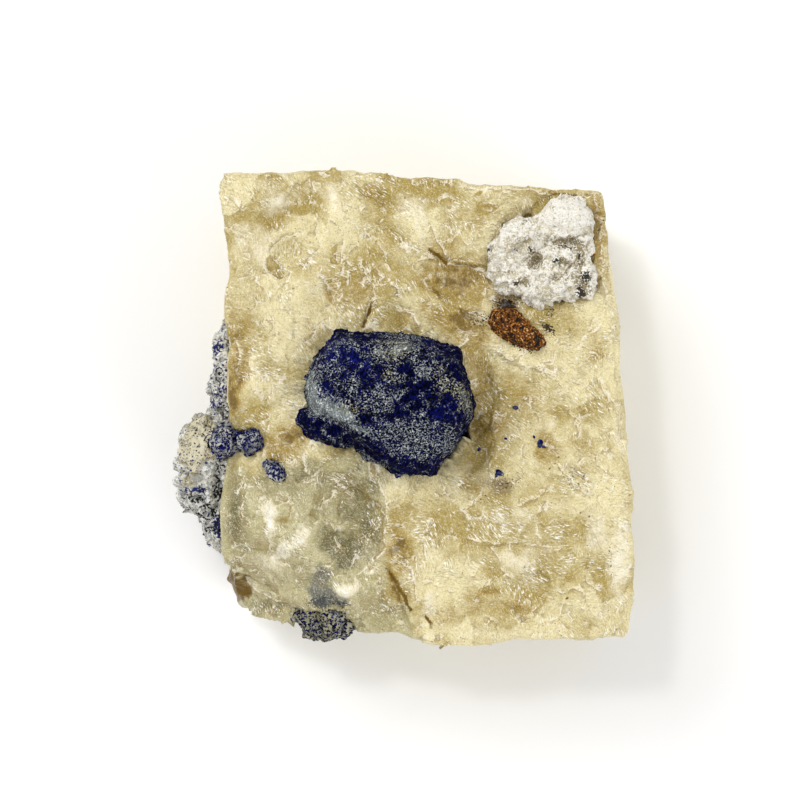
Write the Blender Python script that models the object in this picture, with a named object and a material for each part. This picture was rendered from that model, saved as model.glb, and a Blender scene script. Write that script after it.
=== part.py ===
"""Rough lapis lazuli: a lazurite crystal grown in a broken block of honey calcite.

The block lies on its flat back with the crystal facing up. The origin is under the middle of
the piece, on the plane that it rests on. +Z points up out of the crystal face, +Y to the
block's top edge and +X to its right edge. Lengths are in metres, written as millimetres * MM.
"""

import math

import bmesh
import bpy
from mathutils import Matrix, Vector, noise

MM = 0.001

# Driving dimensions of the block
FACE_HEIGHT = 32.0  # mm, from the flat back to the crystal face
BASE_INSET = 2.6  # mm, how far the flat back stays inside the outline
CHAMFER_HEIGHT = 2.2  # mm, of the broken lower edge
WALL_TAPER = 1.6  # mm, how far the walls draw in from the rim to the chamfer
SOCKET_GAP = 0.3  # mm, clearance between a grain and its socket in the rock
CUTS_ACROSS, CUTS_ALONG, CUTS_DOWN = 26, 29, 6

# The outline of the crystal face, edge by edge, as x and y in mm.
TOP_EDGE = [
    (-28.3, 35.2), (-25.8, 35.7), (-21.6, 35.8), (-17.4, 35.7), (-15.2, 36.0), (-9.2, 36.2),
    (-5.4, 35.6), (-0.9, 35.0), (5.1, 35.2), (6.6, 35.0), (8.9, 33.9), (14.1, 33.8),
    (20.1, 33.5), (26.1, 33.1), (29.7, 32.8),
]
RIGHT_EDGE = [
    (32.1, -34.4), (32.9, -33.2), (33.4, -30.9), (33.8, -26.4), (33.8, -20.4), (33.2, -16.7),
    (34.0, -15.2), (33.4, -10.7), (32.8, -5.4), (32.4, 2.1), (31.7, 6.6), (32.0, 11.9),
    (31.5, 15.6), (30.6, 23.1), (30.1, 28.4), (29.7, 32.8),
]
BOTTOM_EDGE = [
    (-22.9, -32.9), (-17.4, -33.2), (-12.9, -33.6), (-7.4, -34.0), (-5.4, -34.2), (-0.9, -33.9),
    (0.6, -34.0), (2.1, -36.0), (5.9, -36.2), (8.9, -35.8), (14.1, -35.0), (20.9, -34.8),
    (26.1, -34.8), (29.9, -34.4), (32.1, -34.4),
]
LEFT_EDGE = [
    (-22.9, -32.9), (-24.9, -30.5), (-26.5, -27.8), (-27.3, -24.8), (-27.8, -22.2),
    (-28.2, -19.0), (-28.3, -13.7), (-27.9, -8.4), (-26.9, -3.2), (-26.9, 2.1), (-27.4, 8.9),
    (-27.6, 14.0), (-28.4, 15.6), (-27.4, 17.4), (-27.1, 20.9), (-27.6, 26.1), (-28.1, 29.9),
    (-28.7, 32.0), (-28.3, 35.2),
]

# The corners that the walls draw in to below the face: lower left, lower right, upper two.
BACK_CORNERS = [(-26.6, -31.8), (32.8, -34.0), (-27.6, 34.6), (30.4, 32.4)]
WALL_CALM = 0.8  # how far the walls leave the outline's wiggles for the straight back

# Broad forms of the walls: middle x, y and z, half-lengths, and how far they stand out.
WALL_FORMS = [
    (-26.0, -27.0, 12.0, 9.0, 6.0, 12.0, 2.4),
    (2.0, -34.0, 12.0, 12.0, 8.0, 10.0, -1.6),
    (33.0, 6.0, 14.0, 8.0, 13.0, 11.0, -1.5),
    (33.0, -24.0, 20.0, 8.0, 9.0, 9.0, 0.9),
    (-8.0, 35.0, 14.0, 14.0, 8.0, 9.0, -1.5),
    (20.0, 33.0, 12.0, 9.0, 8.0, 11.0, 1.0),
]

# The broad forms of the crystal face: middle x and y, half-lengths, turn in degrees, rise.
FACE_FORMS = {
    "glossy bulge": (-18.5, -15.5, 9.5, 12.0, 0, 1.9),
    "green hollow": (-8.3, -17.0, 7.0, 9.5, 12, -3.0),
    "lower left corner": (-24.8, -31.2, 12.0, 14.0, 0, -13.0),
    "lower left foot": (-8.5, -34.5, 11.0, 8.0, 0, -6.0),
    "left shoulder": (-29.5, -8.0, 5.0, 22.0, 0, -3.5),
    "lower right mass": (15.0, -26.0, 15.0, 11.0, 0, 1.4),
    "trough right of the crystal": (11.6, 1.0, 3.4, 11.0, -6, -2.6),
    "trough under the ledge": (7.6, 19.0, 7.5, 4.5, -8, -1.6),
    "bright shoulder": (0.2, 27.5, 5.0, 8.0, 15, 1.5),
    "thumb hollow": (-18.3, 23.6, 4.2, 3.8, 0, -1.3),
    "ochre hollow": (-19.6, 29.0, 5.2, 3.4, 10, -1.0),
    "upper swell": (-11.0, 31.0, 6.0, 6.5, -25, 1.0),
    "collar of the rusty grain": (16.8, 11.6, 7.4, 5.8, -32, 1.5),
    "upper right bevel": (34.5, 24.0, 6.0, 16.0, 4, -4.0),
    "right flank swell": (25.0, -4.0, 9.0, 12.0, 0, 0.8),
}

# Ledges of broken calcite on the face: from x, y to x, y with the low side on the left, then
# how deep the step is and how far its foot takes to rise again, all in mm.
FACE_LEDGES = [
    (3.3, -22.0, 1.6, -36.5, 1.8, 7.0),
    (-3.0, -19.0, 5.0, -7.5, -1.3, 6.0),
    (11.0, -12.5, 11.2, 10.0, 1.6, 7.0),
    (11.5, 19.5, 5.5, 28.5, 1.5, 6.0),
    (23.0, -19.6, 9.5, -19.4, 1.0, 6.0),
    (-6.0, 14.5, -4.5, 20.0, 0.9, 4.0),
    (-16.0, 21.0, -12.5, 33.0, 0.9, 5.0),
    (18.5, -21.5, 13.0, -26.5, 1.0, 5.0),
    (-26.0, 17.5, -19.5, 16.0, 0.8, 5.0),
    (27.5, 8.0, 24.0, 2.0, 0.8, 5.0),
    (26.0, -9.5, 18.0, -11.0, 0.8, 5.0),
]

# Lumps and hollows of the white patch, given in the same way as the forms of the face.
PATCH_FORMS = [
    (23.9, 28.6, 4.6, 4.2, 0, 1.5), (19.2, 22.2, 3.0, 3.4, 0, -2.3), (15.2, 24.6, 2.8, 3.4, 0, 0.9),
    (26.0, 20.4, 2.6, 3.0, 0, 0.9), (23.3, 19.8, 2.2, 2.2, 0, -1.3), (17.0, 19.6, 2.2, 2.0, 0, 0.7),
    (18.4, 27.0, 2.2, 1.8, 0, -0.9),
]

# Outlines of the smaller minerals from above, as x and y in mm.
PATCH_OUTLINE = [
    (11.6, 22.0), (12.3, 23.4), (13.5, 26.2), (15.1, 28.4), (16.6, 28.9), (18.0, 29.1),
    (19.1, 28.6), (20.4, 29.8), (21.7, 31.6), (23.1, 32.1), (24.8, 32.2), (26.1, 31.8),
    (27.2, 31.0), (28.1, 28.4), (27.7, 26.0), (27.9, 21.6), (28.4, 20.8), (28.2, 18.6),
    (27.9, 16.6), (26.4, 16.2), (24.6, 16.6), (21.9, 15.9), (20.8, 15.2), (19.3, 15.5),
    (17.6, 16.3), (16.1, 17.4), (14.2, 17.7), (12.8, 18.6), (11.9, 21.2),
]
RUST_OUTLINE = [
    (12.4, 13.1), (13.2, 14.7), (16.0, 14.6), (18.9, 12.1), (20.7, 9.9), (20.1, 9.1),
    (16.8, 9.8), (13.5, 11.6),
]
FOOT_OUTLINES = [
    [(-17.9, -32.0), (-16.2, -30.0), (-12.8, -29.7), (-11.6, -31.5), (-12.2, -34.9),
     (-15.9, -35.0)],
    [(-14.6, -30.6), (-12.1, -29.4), (-9.4, -29.9), (-8.4, -31.6), (-9.8, -34.8),
     (-12.8, -35.4)],
    [(-9.8, -31.3), (-8.5, -31.4), (-7.3, -33.6), (-8.0, -34.8), (-10.0, -34.9)],
]
SMALL_OUTLINES = [
    [(-21.8, -8.1), (-20.3, -7.5), (-19.2, -8.6), (-20.4, -9.9), (-21.2, -9.4)],
    [(-19.9, -8.5), (-18.4, -8.9), (-17.8, -9.7), (-18.7, -11.7), (-19.6, -11.6), (-20.4, -10.0)],
]
PAIR_LEFT_OUTLINE = [
    (-30.2, -5.2), (-28.7, -2.3), (-26.8, -1.8), (-25.2, -3.6), (-25.8, -6.7), (-28.4, -8.0),
]
PAIR_RIGHT_OUTLINE = [
    (-26.3, -3.4), (-22.1, -2.8), (-21.0, -6.1), (-23.6, -7.2), (-26.1, -5.7),
]
CRUST_MIDDLE_OUTLINE = [
    (-30.9, -0.3), (-32.4, -0.6), (-33.4, -1.9), (-34.2, -3.4), (-34.8, -5.6), (-35.3, -8.4),
    (-35.5, -12.4), (-33.4, -14.6), (-28.4, -15.4), (-25.2, -13.2), (-24.6, -8.0),
    (-25.0, -2.4), (-27.0, -0.1),
]
CRUST_LOWER_OUTLINE = [
    (-32.6, -8.0), (-35.0, -10.4), (-35.6, -13.2), (-34.9, -15.6), (-33.7, -17.6),
    (-32.3, -18.7), (-30.9, -20.5), (-29.4, -22.3), (-27.6, -22.8), (-25.4, -20.0),
    (-25.0, -14.0), (-26.5, -9.5),
]
CRUST_UPPER_OUTLINE = [
    (-28.2, 15.6), (-29.1, 14.0), (-29.3, 12.0), (-30.1, 9.3), (-30.6, 5.9), (-30.9, 3.5),
    (-30.3, 1.6), (-30.6, 0.3), (-30.0, -1.4), (-26.8, -1.6), (-25.0, 1.2), (-25.0, 12.6),
    (-26.2, 15.2),
]

# The main crystal: a rhombic dodecahedron seen down its threefold axis. Each face is the
# direction that it looks in, how far it leans up from a wall, and its distance from the middle.
CRYSTAL_MIDDLE = Vector((-3.0, 0.9, 33.0))
CRYSTAL_FACES = [
    (86, 11, 10.0), (72, 14, 10.8), (14, 8, 12.5), (-11, 8, 12.7), (-39, 14, 11.9),
    (-95, 14, 10.0), (-128, 12, 7.9), (183, 8, 11.6), (162, 10, 12.2), (136, 12, 12.4),
    (-30, 86, 10.4), (-90, 52, 9.8), (90, 66, 11.2), (148, 62, 11.2), (205, 50, 11.5),
    (42, 40, 13.7), (-8, 35, 13.8), (-62, 25, 12.2),
    (30, -35, 11.0), (150, -35, 11.5), (-90, -35, 10.0), (0, -90, 7.5),
]
# The smaller crystal that grew into its lower left side
SIDE_CRYSTAL_MIDDLE = Vector((-12.7, -3.2, 31.6))
SIDE_CRYSTAL_FACES = [
    (60, 20, 4.6), (5, 10, 6.0), (-20, 14, 4.5), (-105, 12, 1.8), (-152, 16, 2.7),
    (156, 18, 4.0), (110, 20, 3.8), (-120, 58, 4.2), (205, 68, 4.9), (0, -90, 5.0),
]


def soft_step(value):
    """0 below 0, 1 above 1, and a smooth rise between."""
    value = min(1.0, max(0.0, value))
    return value * value * (3 - 2 * value)


def bell(x, y, form):
    """The rise of one broad form at a point of the face, in mm."""
    middle_x, middle_y, half_x, half_y, turn, rise = form
    angle = math.radians(turn)
    dx, dy = x - middle_x, y - middle_y
    across = (dx * math.cos(angle) + dy * math.sin(angle)) / half_x
    along = (dy * math.cos(angle) - dx * math.sin(angle)) / half_y
    inside = 1 - across * across - along * along
    return rise * inside * inside if inside > 0 else 0.0


def ledge_drop(x, y, ledge):
    """How far one ledge lets the face down at a point, in mm."""
    x1, y1, x2, y2, depth, foot = ledge
    line = Vector((x2 - x1, y2 - y1))
    way = line.normalized()
    from_start = Vector((x - x1, y - y1))
    share = from_start.dot(way) / line.length
    left = way.x * from_start.y - way.y * from_start.x
    wander = 0.8 * noise.noise(Vector((x, y, 1.5)) / 4)
    ends = soft_step(share * 4) * soft_step((1 - share) * 4)
    return depth * ends * soft_step((left + wander) / 1.2 + 0.5) * math.exp(-max(0.0, left) / foot)


def face_height(x, y):
    """Height of the crystal face above the flat back, in mm."""
    dome = 1.3 * (1 - (x / 34) ** 2) * (1 - (y / 36) ** 2)
    waves = 0.9 * noise.noise(Vector((x, y, 3.0)) / 13) + 0.3 * noise.noise(Vector((x, y, 9.0)) / 5)
    waves += 0.9 * cleavage(Vector((x + 0.25 * y, y, 5.0)), 8.5)
    forms = sum(bell(x, y, form) for form in FACE_FORMS.values())
    steps = sum(ledge_drop(x, y, ledge) for ledge in FACE_LEDGES)
    return FACE_HEIGHT - 1.0 + dome + waves + forms - steps


def along(edge, share):
    """The point at a share of the length of an edge's polyline."""
    points = [Vector(p) for p in edge]
    left = share * sum((b - a).length for a, b in zip(points, points[1:]))
    for a, b in zip(points, points[1:]):
        length = (b - a).length
        if left <= length:
            return a.lerp(b, left / length)
        left -= length
    return points[-1]


def plan_point(u, v):
    """A point of the outline's inside: a Coons patch between the four edges."""
    low, high = along(BOTTOM_EDGE, u), along(TOP_EDGE, u)
    left, right = along(LEFT_EDGE, v), along(RIGHT_EDGE, v)
    between_rows = low.lerp(high, v)
    between_columns = left.lerp(right, u)
    low_corners = Vector(BOTTOM_EDGE[0]).lerp(Vector(BOTTOM_EDGE[-1]), u)
    high_corners = Vector(TOP_EDGE[0]).lerp(Vector(TOP_EDGE[-1]), u)
    return between_rows + between_columns - low_corners.lerp(high_corners, v)


def outward(u, v):
    """The direction out of the wall at a point of the rim, or none inside the face."""
    across = (u > 1 - 1e-6) - (u < 1e-6)
    along_y = (v > 1 - 1e-6) - (v < 1e-6)
    way = Vector((across, along_y))
    return way.normalized() if way.length else way


def cleavage(place, size):
    """Relief of blocky cleavage, from -1 to 1: each cell of the stone breaks on its own plane."""
    found, cells = noise.voronoi(place / size)
    cell = cells[0]
    tilt = noise.noise_vector(cell * 3.7)
    step = noise.noise(cell * 5.3 + Vector((2.0, 8.0, 5.0)))
    return 1.4 * step + 0.9 * tilt.dot(place / size - cell)


def wall_relief(x, y, z):
    """How far a broken calcite wall steps out at a point, in mm."""
    place = Vector((x + 0.2 * z, y - 0.15 * z, 1.3 * z))
    return 1.5 * cleavage(place, 11.0) + 0.3 * noise.noise(place / 4)


def wall_bell(place, form):
    """How far one broad form lets a wall stand out at a point, in mm."""
    across = sum(((place[i] - form[i]) / form[i + 3]) ** 2 for i in range(3))
    return form[6] * (1 - across) ** 2 if across < 1 else 0.0


def straight_point(u, v):
    """A point between the four corners that the walls draw in to."""
    low_left, low_right, high_left, high_right = (Vector(corner) for corner in BACK_CORNERS)
    return low_left.lerp(low_right, u).lerp(high_left.lerp(high_right, u), v)


def block_point(u, v, w):
    """Where a corner of the gridded cube goes on the block, in mm."""
    plan, way = plan_point(u, v), outward(u, v)
    if w < 1e-6:
        plan = plan.lerp(straight_point(u, v), WALL_CALM)
        pull = BASE_INSET + 0.5 * noise.noise(Vector((plan.x, plan.y, 0)) / 6)
        middle = Vector((0, -1))
        inset = plan - (plan - middle) * pull / 33
        return Vector((inset.x, inset.y, 0))
    rim = face_height(plan.x, plan.y)
    if not way.length:
        return Vector((plan.x, plan.y, rim))
    z = CHAMFER_HEIGHT + (rim - CHAMFER_HEIGHT) * (w - 1 / (CUTS_DOWN + 1)) * (CUTS_DOWN + 1) / CUTS_DOWN
    depth = soft_step((1 - w) * 2)
    plan = plan.lerp(straight_point(u, v), WALL_CALM * depth)
    forms = sum(wall_bell(Vector((plan.x, plan.y, z)), form) for form in WALL_FORMS)
    shift = (wall_relief(plan.x, plan.y, z) + forms) * depth - WALL_TAPER * (1 - w)
    return Vector((plan.x + way.x * shift, plan.y + way.y * shift, z))


def gridded_cube():
    """A cube from 0 to 1, cut into rows along each axis."""
    bm = bmesh.new()
    bmesh.ops.create_cube(bm, size=1, matrix=Matrix.Translation((0.5, 0.5, 0.5)))
    for axis, cuts in enumerate((CUTS_ACROSS, CUTS_ALONG, CUTS_DOWN)):
        edges = [e for e in bm.edges if abs((e.verts[0].co - e.verts[1].co)[axis]) > 1e-6]
        bmesh.ops.subdivide_edges(bm, edges=edges, cuts=cuts, use_grid_fill=True)
    return bm


def calcite_block():
    """The block: a gridded cube fitted to the outline, its face, its walls and its flat back."""
    bm = gridded_cube()
    for vert in bm.verts:
        vert.co = block_point(*vert.co)
    back = [f for f in bm.faces if all(abs(v.co.z) < 1e-6 for v in f.verts)]
    bmesh.ops.dissolve_faces(bm, faces=back, use_verts=False)
    bmesh.ops.triangulate(bm, faces=bm.faces[:], quad_method="SHORT_EDGE")
    return bm


def reach(outline, middle, way):
    """How far an outline lies from its middle in a direction, in mm."""
    best = 0.0
    for a, b in zip(outline, outline[1:] + outline[:1]):
        a, b = Vector(a) - middle, Vector(b) - middle
        side = b - a
        denominator = way.x * side.y - way.y * side.x
        if abs(denominator) < 1e-9:
            continue
        distance = (a.x * side.y - a.y * side.x) / denominator
        share = (a.x * way.y - a.y * way.x) / denominator
        if distance > 0 and -1e-6 <= share <= 1 + 1e-6:
            best = max(best, distance)
    return best


def worn_edges(bm, rounding, segments=2):
    """Rounds the edges of a flat-faced solid a little, and leaves it in triangles."""
    bmesh.ops.bevel(
        bm, geom=bm.edges[:], offset=rounding, segments=segments, profile=0.5,
        affect="EDGES", material=-1, clamp_overlap=True,
    )
    bmesh.ops.triangulate(bm, faces=bm.faces[:])
    bmesh.ops.recalc_face_normals(bm, faces=bm.faces[:])
    return bm


def lump(outline, low, high, squareness, roughness, grain, cuts, forms=()):
    """A rounded mineral mass that fills an outline from one height to another."""
    middle = sum((Vector(p) for p in outline), Vector((0, 0))) / len(outline)
    half, level = (high - low) / 2, (high + low) / 2
    bm = bmesh.new()
    bmesh.ops.create_cube(bm, size=2)
    bmesh.ops.subdivide_edges(bm, edges=bm.edges[:], cuts=cuts, use_grid_fill=True)
    for vert in bm.verts:
        vert.co.normalize()
        way = Vector((vert.co.x, vert.co.y))
        flat = min(1.0, way.length) ** (2 / squareness)
        rise = math.copysign(min(1.0, abs(vert.co.z)) ** (2 / squareness), vert.co.z)
        way = way.normalized() if way.length > 1e-6 else Vector((1, 0))
        plan = middle + way * reach(outline, middle, way) * flat
        place = Vector((plan.x, plan.y, level + rise * half))
        bump = 1 + roughness * noise.noise(place / grain + Vector((7, 3, 1)))
        core = Vector((middle.x, middle.y, level))
        place = core + (place - core) * bump
        place.z += soft_step(rise * 2) * sum(bell(place.x, place.y, form) for form in forms)
        vert.co = place
    bmesh.ops.triangulate(bm, faces=bm.faces[:])
    return bm


def worn_crystal(outline, low, high, lean_x=0.0, lean_y=0.0, crown=0.55):
    """A small crystal with flat faces that fills an outline: the hull of its corners."""
    middle = sum((Vector(p) for p in outline), Vector((0, 0))) / len(outline)
    bm = bmesh.new()
    for share, level in ((0.75, 0.0), (1.0, 0.45), (crown, 1.0)):
        for number, point in enumerate(outline):
            arm = (Vector(point) - middle) * share
            drop = 0.12 * abs(noise.noise(Vector((number * 1.7, level * 3, low))))
            rise = low + (high - low) * (level - drop) + lean_x * arm.x + lean_y * arm.y
            bm.verts.new((middle.x + arm.x, middle.y + arm.y, rise))
    hull = bmesh.ops.convex_hull(bm, input=bm.verts[:])
    inside = {g for g in hull["geom_interior"] + hull["geom_unused"] if isinstance(g, bmesh.types.BMVert)}
    bmesh.ops.delete(bm, geom=list(inside), context="VERTS")
    bmesh.ops.dissolve_limit(bm, angle_limit=math.radians(16), verts=bm.verts[:], edges=bm.edges[:])
    return worn_edges(bm, 0.22, 1)


def face_direction(azimuth, lean):
    """The way that a crystal face looks: 0 along +X, leaning up from a wall."""
    a, e = math.radians(azimuth), math.radians(lean)
    return Vector((math.cos(a) * math.cos(e), math.sin(a) * math.cos(e), math.sin(e)))


def cut_crystal(middle, faces, rounding):
    """A crystal with flat faces: a cube cut by the plane of each face, its edges worn round."""
    bm = bmesh.new()
    bmesh.ops.create_cube(bm, size=60, matrix=Matrix.Translation(middle))
    for azimuth, lean, distance in faces:
        normal = face_direction(azimuth, lean)
        geometry = bm.verts[:] + bm.edges[:] + bm.faces[:]
        place = middle + normal * distance
        bmesh.ops.bisect_plane(bm, geom=geometry, plane_co=place, plane_no=normal, clear_outer=True)
        bmesh.ops.holes_fill(bm, edges=[e for e in bm.edges if e.is_boundary])
    bmesh.ops.remove_doubles(bm, verts=bm.verts[:], dist=0.05)
    bmesh.ops.dissolve_limit(bm, angle_limit=math.radians(2), verts=bm.verts[:], edges=bm.edges[:])
    return worn_edges(bm, rounding)


def stone(name, color, roughness):
    """A plain mineral finish."""
    material = bpy.data.materials.new(name)
    material.use_nodes = True
    shader = material.node_tree.nodes["Principled BSDF"]
    shader.inputs["Base Color"].default_value = (*color, 1)
    shader.inputs["Roughness"].default_value = roughness
    return material


def add_object(name, bm, material):
    """Makes a bmesh in millimetres an object in metres, and links it."""
    bmesh.ops.scale(bm, vec=(MM, MM, MM), verts=bm.verts[:])
    mesh = bpy.data.meshes.new(name)
    bm.to_mesh(mesh)
    bm.free()
    made = bpy.data.objects.new(name, mesh)
    bpy.context.scene.collection.objects.link(made)
    if material:
        mesh.materials.append(material)
    return made


def helper(obj):
    """Marks a cutter or a joined piece, which isn't part of the stone by itself."""
    obj.hide_render = True
    obj.display_type = "WIRE"
    return obj


def boolean(obj, other, operation):
    """Adds an exact Boolean that stays on the object."""
    modifier = obj.modifiers.new(operation.title(), "BOOLEAN")
    modifier.operation = operation
    modifier.solver = "EXACT"
    modifier.object = other


def grown(bm):
    """A copy of a grain's shape, grown by the socket's gap."""
    bm.normal_update()
    copy = bm.copy()
    copy.normal_update()
    places = [v.co + v.normal * SOCKET_GAP * min(1.6, v.calc_shell_factor()) for v in copy.verts]
    for vert, place in zip(copy.verts, places):
        vert.co = place
    return copy


def add_mineral(name, shapes, material, hosts):
    """Adds a mineral made of one or more grown-together shapes, and cuts its socket."""
    for number, shape in enumerate(shapes, 1):
        cutter = helper(add_object(f"{name}_socket_{number}", grown(shape), None))
        for host in hosts:
            boolean(host, cutter, "DIFFERENCE")
    mineral = add_object(name, shapes[0], material)
    for number, shape in enumerate(shapes[1:], 2):
        boolean(mineral, helper(add_object(f"{name}_shape_{number}", shape, None)), "UNION")
    return mineral


def centre_on_base():
    """Moves everything so that the origin is under the middle of the finished piece."""
    bpy.context.view_layer.update()
    graph = bpy.context.evaluated_depsgraph_get()
    corners = []
    for obj in bpy.context.scene.objects:
        if not obj.hide_render:
            evaluated = obj.evaluated_get(graph)
            corners += [v.co.copy() for v in evaluated.data.vertices]
    low = Vector(min(c[i] for c in corners) for i in range(3))
    high = Vector(max(c[i] for c in corners) for i in range(3))
    shift = Vector((-(low.x + high.x) / 2, -(low.y + high.y) / 2, -low.z))
    for obj in bpy.context.scene.objects:
        obj.location = shift


def build():
    """Models every mineral of the specimen and seats each grain in its socket."""
    calcite = stone("honey calcite", (0.62, 0.53, 0.31), 0.4)
    lazurite = stone("lazurite", (0.02, 0.025, 0.22), 0.55)
    diopside = stone("white diopside", (0.83, 0.79, 0.7), 0.75)
    rust = stone("iron oxide", (0.2, 0.06, 0.012), 0.7)
    skarn = stone("pale green wall rock", (0.42, 0.42, 0.36), 0.8)

    block = add_object("calcite_matrix", calcite_block(), calcite)
    crust_shapes = [
        lump(CRUST_MIDDLE_OUTLINE, 9.5, 28.8, 2.5, 0.22, 3.6, 5),
        lump(CRUST_LOWER_OUTLINE, 4.5, 23.0, 2.5, 0.22, 3.4, 4),
        lump(CRUST_UPPER_OUTLINE, 13.0, 27.6, 2.5, 0.22, 3.2, 4),
    ]
    crust = add_mineral("wall_rock_crust", crust_shapes, skarn, [block])
    crystal_shapes = [
        cut_crystal(CRYSTAL_MIDDLE, CRYSTAL_FACES, 0.9),
        cut_crystal(SIDE_CRYSTAL_MIDDLE, SIDE_CRYSTAL_FACES, 0.5),
    ]
    add_mineral("lazurite_crystal", crystal_shapes, lazurite, [block])
    pair_shapes = [
        worn_crystal(PAIR_LEFT_OUTLINE, 25.5, 33.2, 0.1, -0.1),
        worn_crystal(PAIR_RIGHT_OUTLINE, 28.0, 33.6, 0.0, 0.15),
    ]
    add_mineral("lazurite_edge_pair", pair_shapes, lazurite, [block, crust])
    small_shapes = [
        worn_crystal(SMALL_OUTLINES[0], 29.5, 33.4, 0.2, 0.0),
        worn_crystal(SMALL_OUTLINES[1], 29.0, 33.8, -0.1, 0.1),
    ]
    add_mineral("lazurite_small_crystal", small_shapes, lazurite, [block])
    foot_shapes = [
        worn_crystal(FOOT_OUTLINES[0], 21.5, 28.6, 0.1, 0.2),
        worn_crystal(FOOT_OUTLINES[1], 20.0, 29.6, 0.0, 0.1),
        worn_crystal(FOOT_OUTLINES[2], 22.5, 28.2, -0.1, 0.1),
    ]
    add_mineral("lazurite_foot_cluster", foot_shapes, lazurite, [block])
    patch = lump(PATCH_OUTLINE, 28.2, 34.0, 4.2, 0.1, 2.2, 6, PATCH_FORMS)
    add_mineral("white_diopside_patch", [patch], diopside, [block])
    rusty = worn_crystal(RUST_OUTLINE, 29.6, 34.6, 0.1, 0.1, 0.6)
    add_mineral("iron_oxide_grain", [rusty], rust, [block])
    centre_on_base()


def main():
    for obj in list(bpy.data.objects):
        bpy.data.objects.remove(obj)
    build()


main()
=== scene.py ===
# %% [markdown]
# # Rough lapis lazuli
# The real piece is a hand-size block of honey calcite with a big worn lazurite crystal in its
# face. Small blue grains, a white patch, a rusty grain and a crust of wall rock sit around it.
# The CAD part gives the broad forms. This lesson gives each mineral its broken surface and its
# colours: it copies a CAD piece, turns it into an even fine mesh, and roughens that mesh.

# %% Load the frame
import math

import bmesh
import bpy
import numpy as np
from mathutils import Matrix, Vector, noise
from mathutils.bvhtree import BVHTree


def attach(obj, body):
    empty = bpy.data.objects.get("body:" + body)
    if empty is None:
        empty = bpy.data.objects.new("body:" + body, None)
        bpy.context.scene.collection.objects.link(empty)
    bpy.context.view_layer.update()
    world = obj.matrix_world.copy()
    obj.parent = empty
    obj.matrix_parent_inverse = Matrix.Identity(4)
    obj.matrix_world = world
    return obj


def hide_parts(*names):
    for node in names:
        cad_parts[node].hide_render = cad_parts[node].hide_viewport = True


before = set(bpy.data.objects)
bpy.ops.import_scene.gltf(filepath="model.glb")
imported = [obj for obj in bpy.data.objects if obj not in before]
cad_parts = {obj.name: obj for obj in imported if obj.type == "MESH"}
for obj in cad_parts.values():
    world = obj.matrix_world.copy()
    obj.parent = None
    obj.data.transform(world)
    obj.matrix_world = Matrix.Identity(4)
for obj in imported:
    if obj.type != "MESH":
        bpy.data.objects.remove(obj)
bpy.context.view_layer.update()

MM = 0.001
print("CAD nodes:", sorted(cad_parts))

# %% [markdown]
# Everything below is thought out in millimetres, because grains, ledges and stains are read in
# millimetres on a real stone. Two small curves come back again and again: a soft step from 0 to
# 1, and a bell that fades out at the edge of an ellipse. They are better than hard edges,
# because worn stone has none.

# %% Soft shapes
def soft_step(value):
    """0 below 0, 1 above 1, and a smooth rise between."""
    value = np.clip(value, 0.0, 1.0)
    return value * value * (3 - 2 * value)


def bell(x, y, spot):
    """An ellipse's height at points x, y: full at its middle and 0 outside it."""
    middle_x, middle_y, half_x, half_y, turn, rise = spot
    angle = math.radians(turn)
    dx, dy = x - middle_x, y - middle_y
    across = (dx * math.cos(angle) + dy * math.sin(angle)) / half_x
    along = (dy * math.cos(angle) - dx * math.sin(angle)) / half_y
    return rise * np.clip(1 - across ** 2 - along ** 2, 0, None) ** 2


def swell(x, y, spots):
    """The heights of some ellipses at points x, y, added up."""
    return sum(bell(x, y, spot) for spot in spots)


def signed_distance(x, y, lines):
    """Distance to the nearest of some lines, in mm: above 0 on its left and below 0 on its right."""
    best = np.full_like(x, 99.0)
    for line in lines:
        for (x1, y1), (x2, y2) in zip(line, line[1:]):
            length = math.hypot(x2 - x1, y2 - y1)
            way_x, way_y = (x2 - x1) / length, (y2 - y1) / length
            along = np.clip((x - x1) * way_x + (y - y1) * way_y, 0, length)
            gap = np.hypot(x - x1 - along * way_x, y - y1 - along * way_y)
            side = np.where(way_x * (y - y1) - way_y * (x - x1) > 0, 1.0, -1.0)
            best = np.where(gap < np.abs(best), gap * side, best)
    return best


print("bell at its middle:", bell(np.zeros(1), np.zeros(1), (0, 0, 1, 1, 0, 2.0)))

# %% [markdown]
# A CAD piece is made of large triangles. Its copy is merged, because its triangles are loose,
# and a voxel remesh gives it even small squares. A few rounds of smoothing take the triangles'
# edges away. This is quicker and more even than subdividing thin triangles.

# %% Even copies of CAD pieces
def even_copy(node, voxel, rounds):
    """A CAD node's shape in even squares, its facets smoothed away, in millimetres."""
    bm = bmesh.new()
    bm.from_mesh(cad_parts[node].data)
    bmesh.ops.remove_doubles(bm, verts=bm.verts[:], dist=1e-6)
    mesh = bpy.data.meshes.new("rough")
    bm.to_mesh(mesh)
    bm.free()
    rough = bpy.data.objects.new("rough", mesh)
    bpy.context.scene.collection.objects.link(rough)
    remesh = rough.modifiers.new("Even squares", "REMESH")
    remesh.mode = "VOXEL"
    remesh.voxel_size = voxel * MM
    even = bmesh.new()
    even.from_object(rough, bpy.context.evaluated_depsgraph_get())
    bpy.data.objects.remove(rough)
    bpy.data.meshes.remove(mesh)
    bmesh.ops.scale(even, vec=(1 / MM,) * 3, verts=even.verts[:])
    for _ in range(rounds):
        bmesh.ops.smooth_vert(
            even, verts=even.verts[:], factor=0.5, use_axis_x=True, use_axis_y=True, use_axis_z=True
        )
    even.normal_update()
    return even


def places(bm):
    """The points of a bmesh as one array."""
    return np.array([v.co[:] for v in bm.verts])


def normals(bm):
    """The normals of a bmesh's points as one array."""
    return np.array([v.normal[:] for v in bm.verts])


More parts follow.
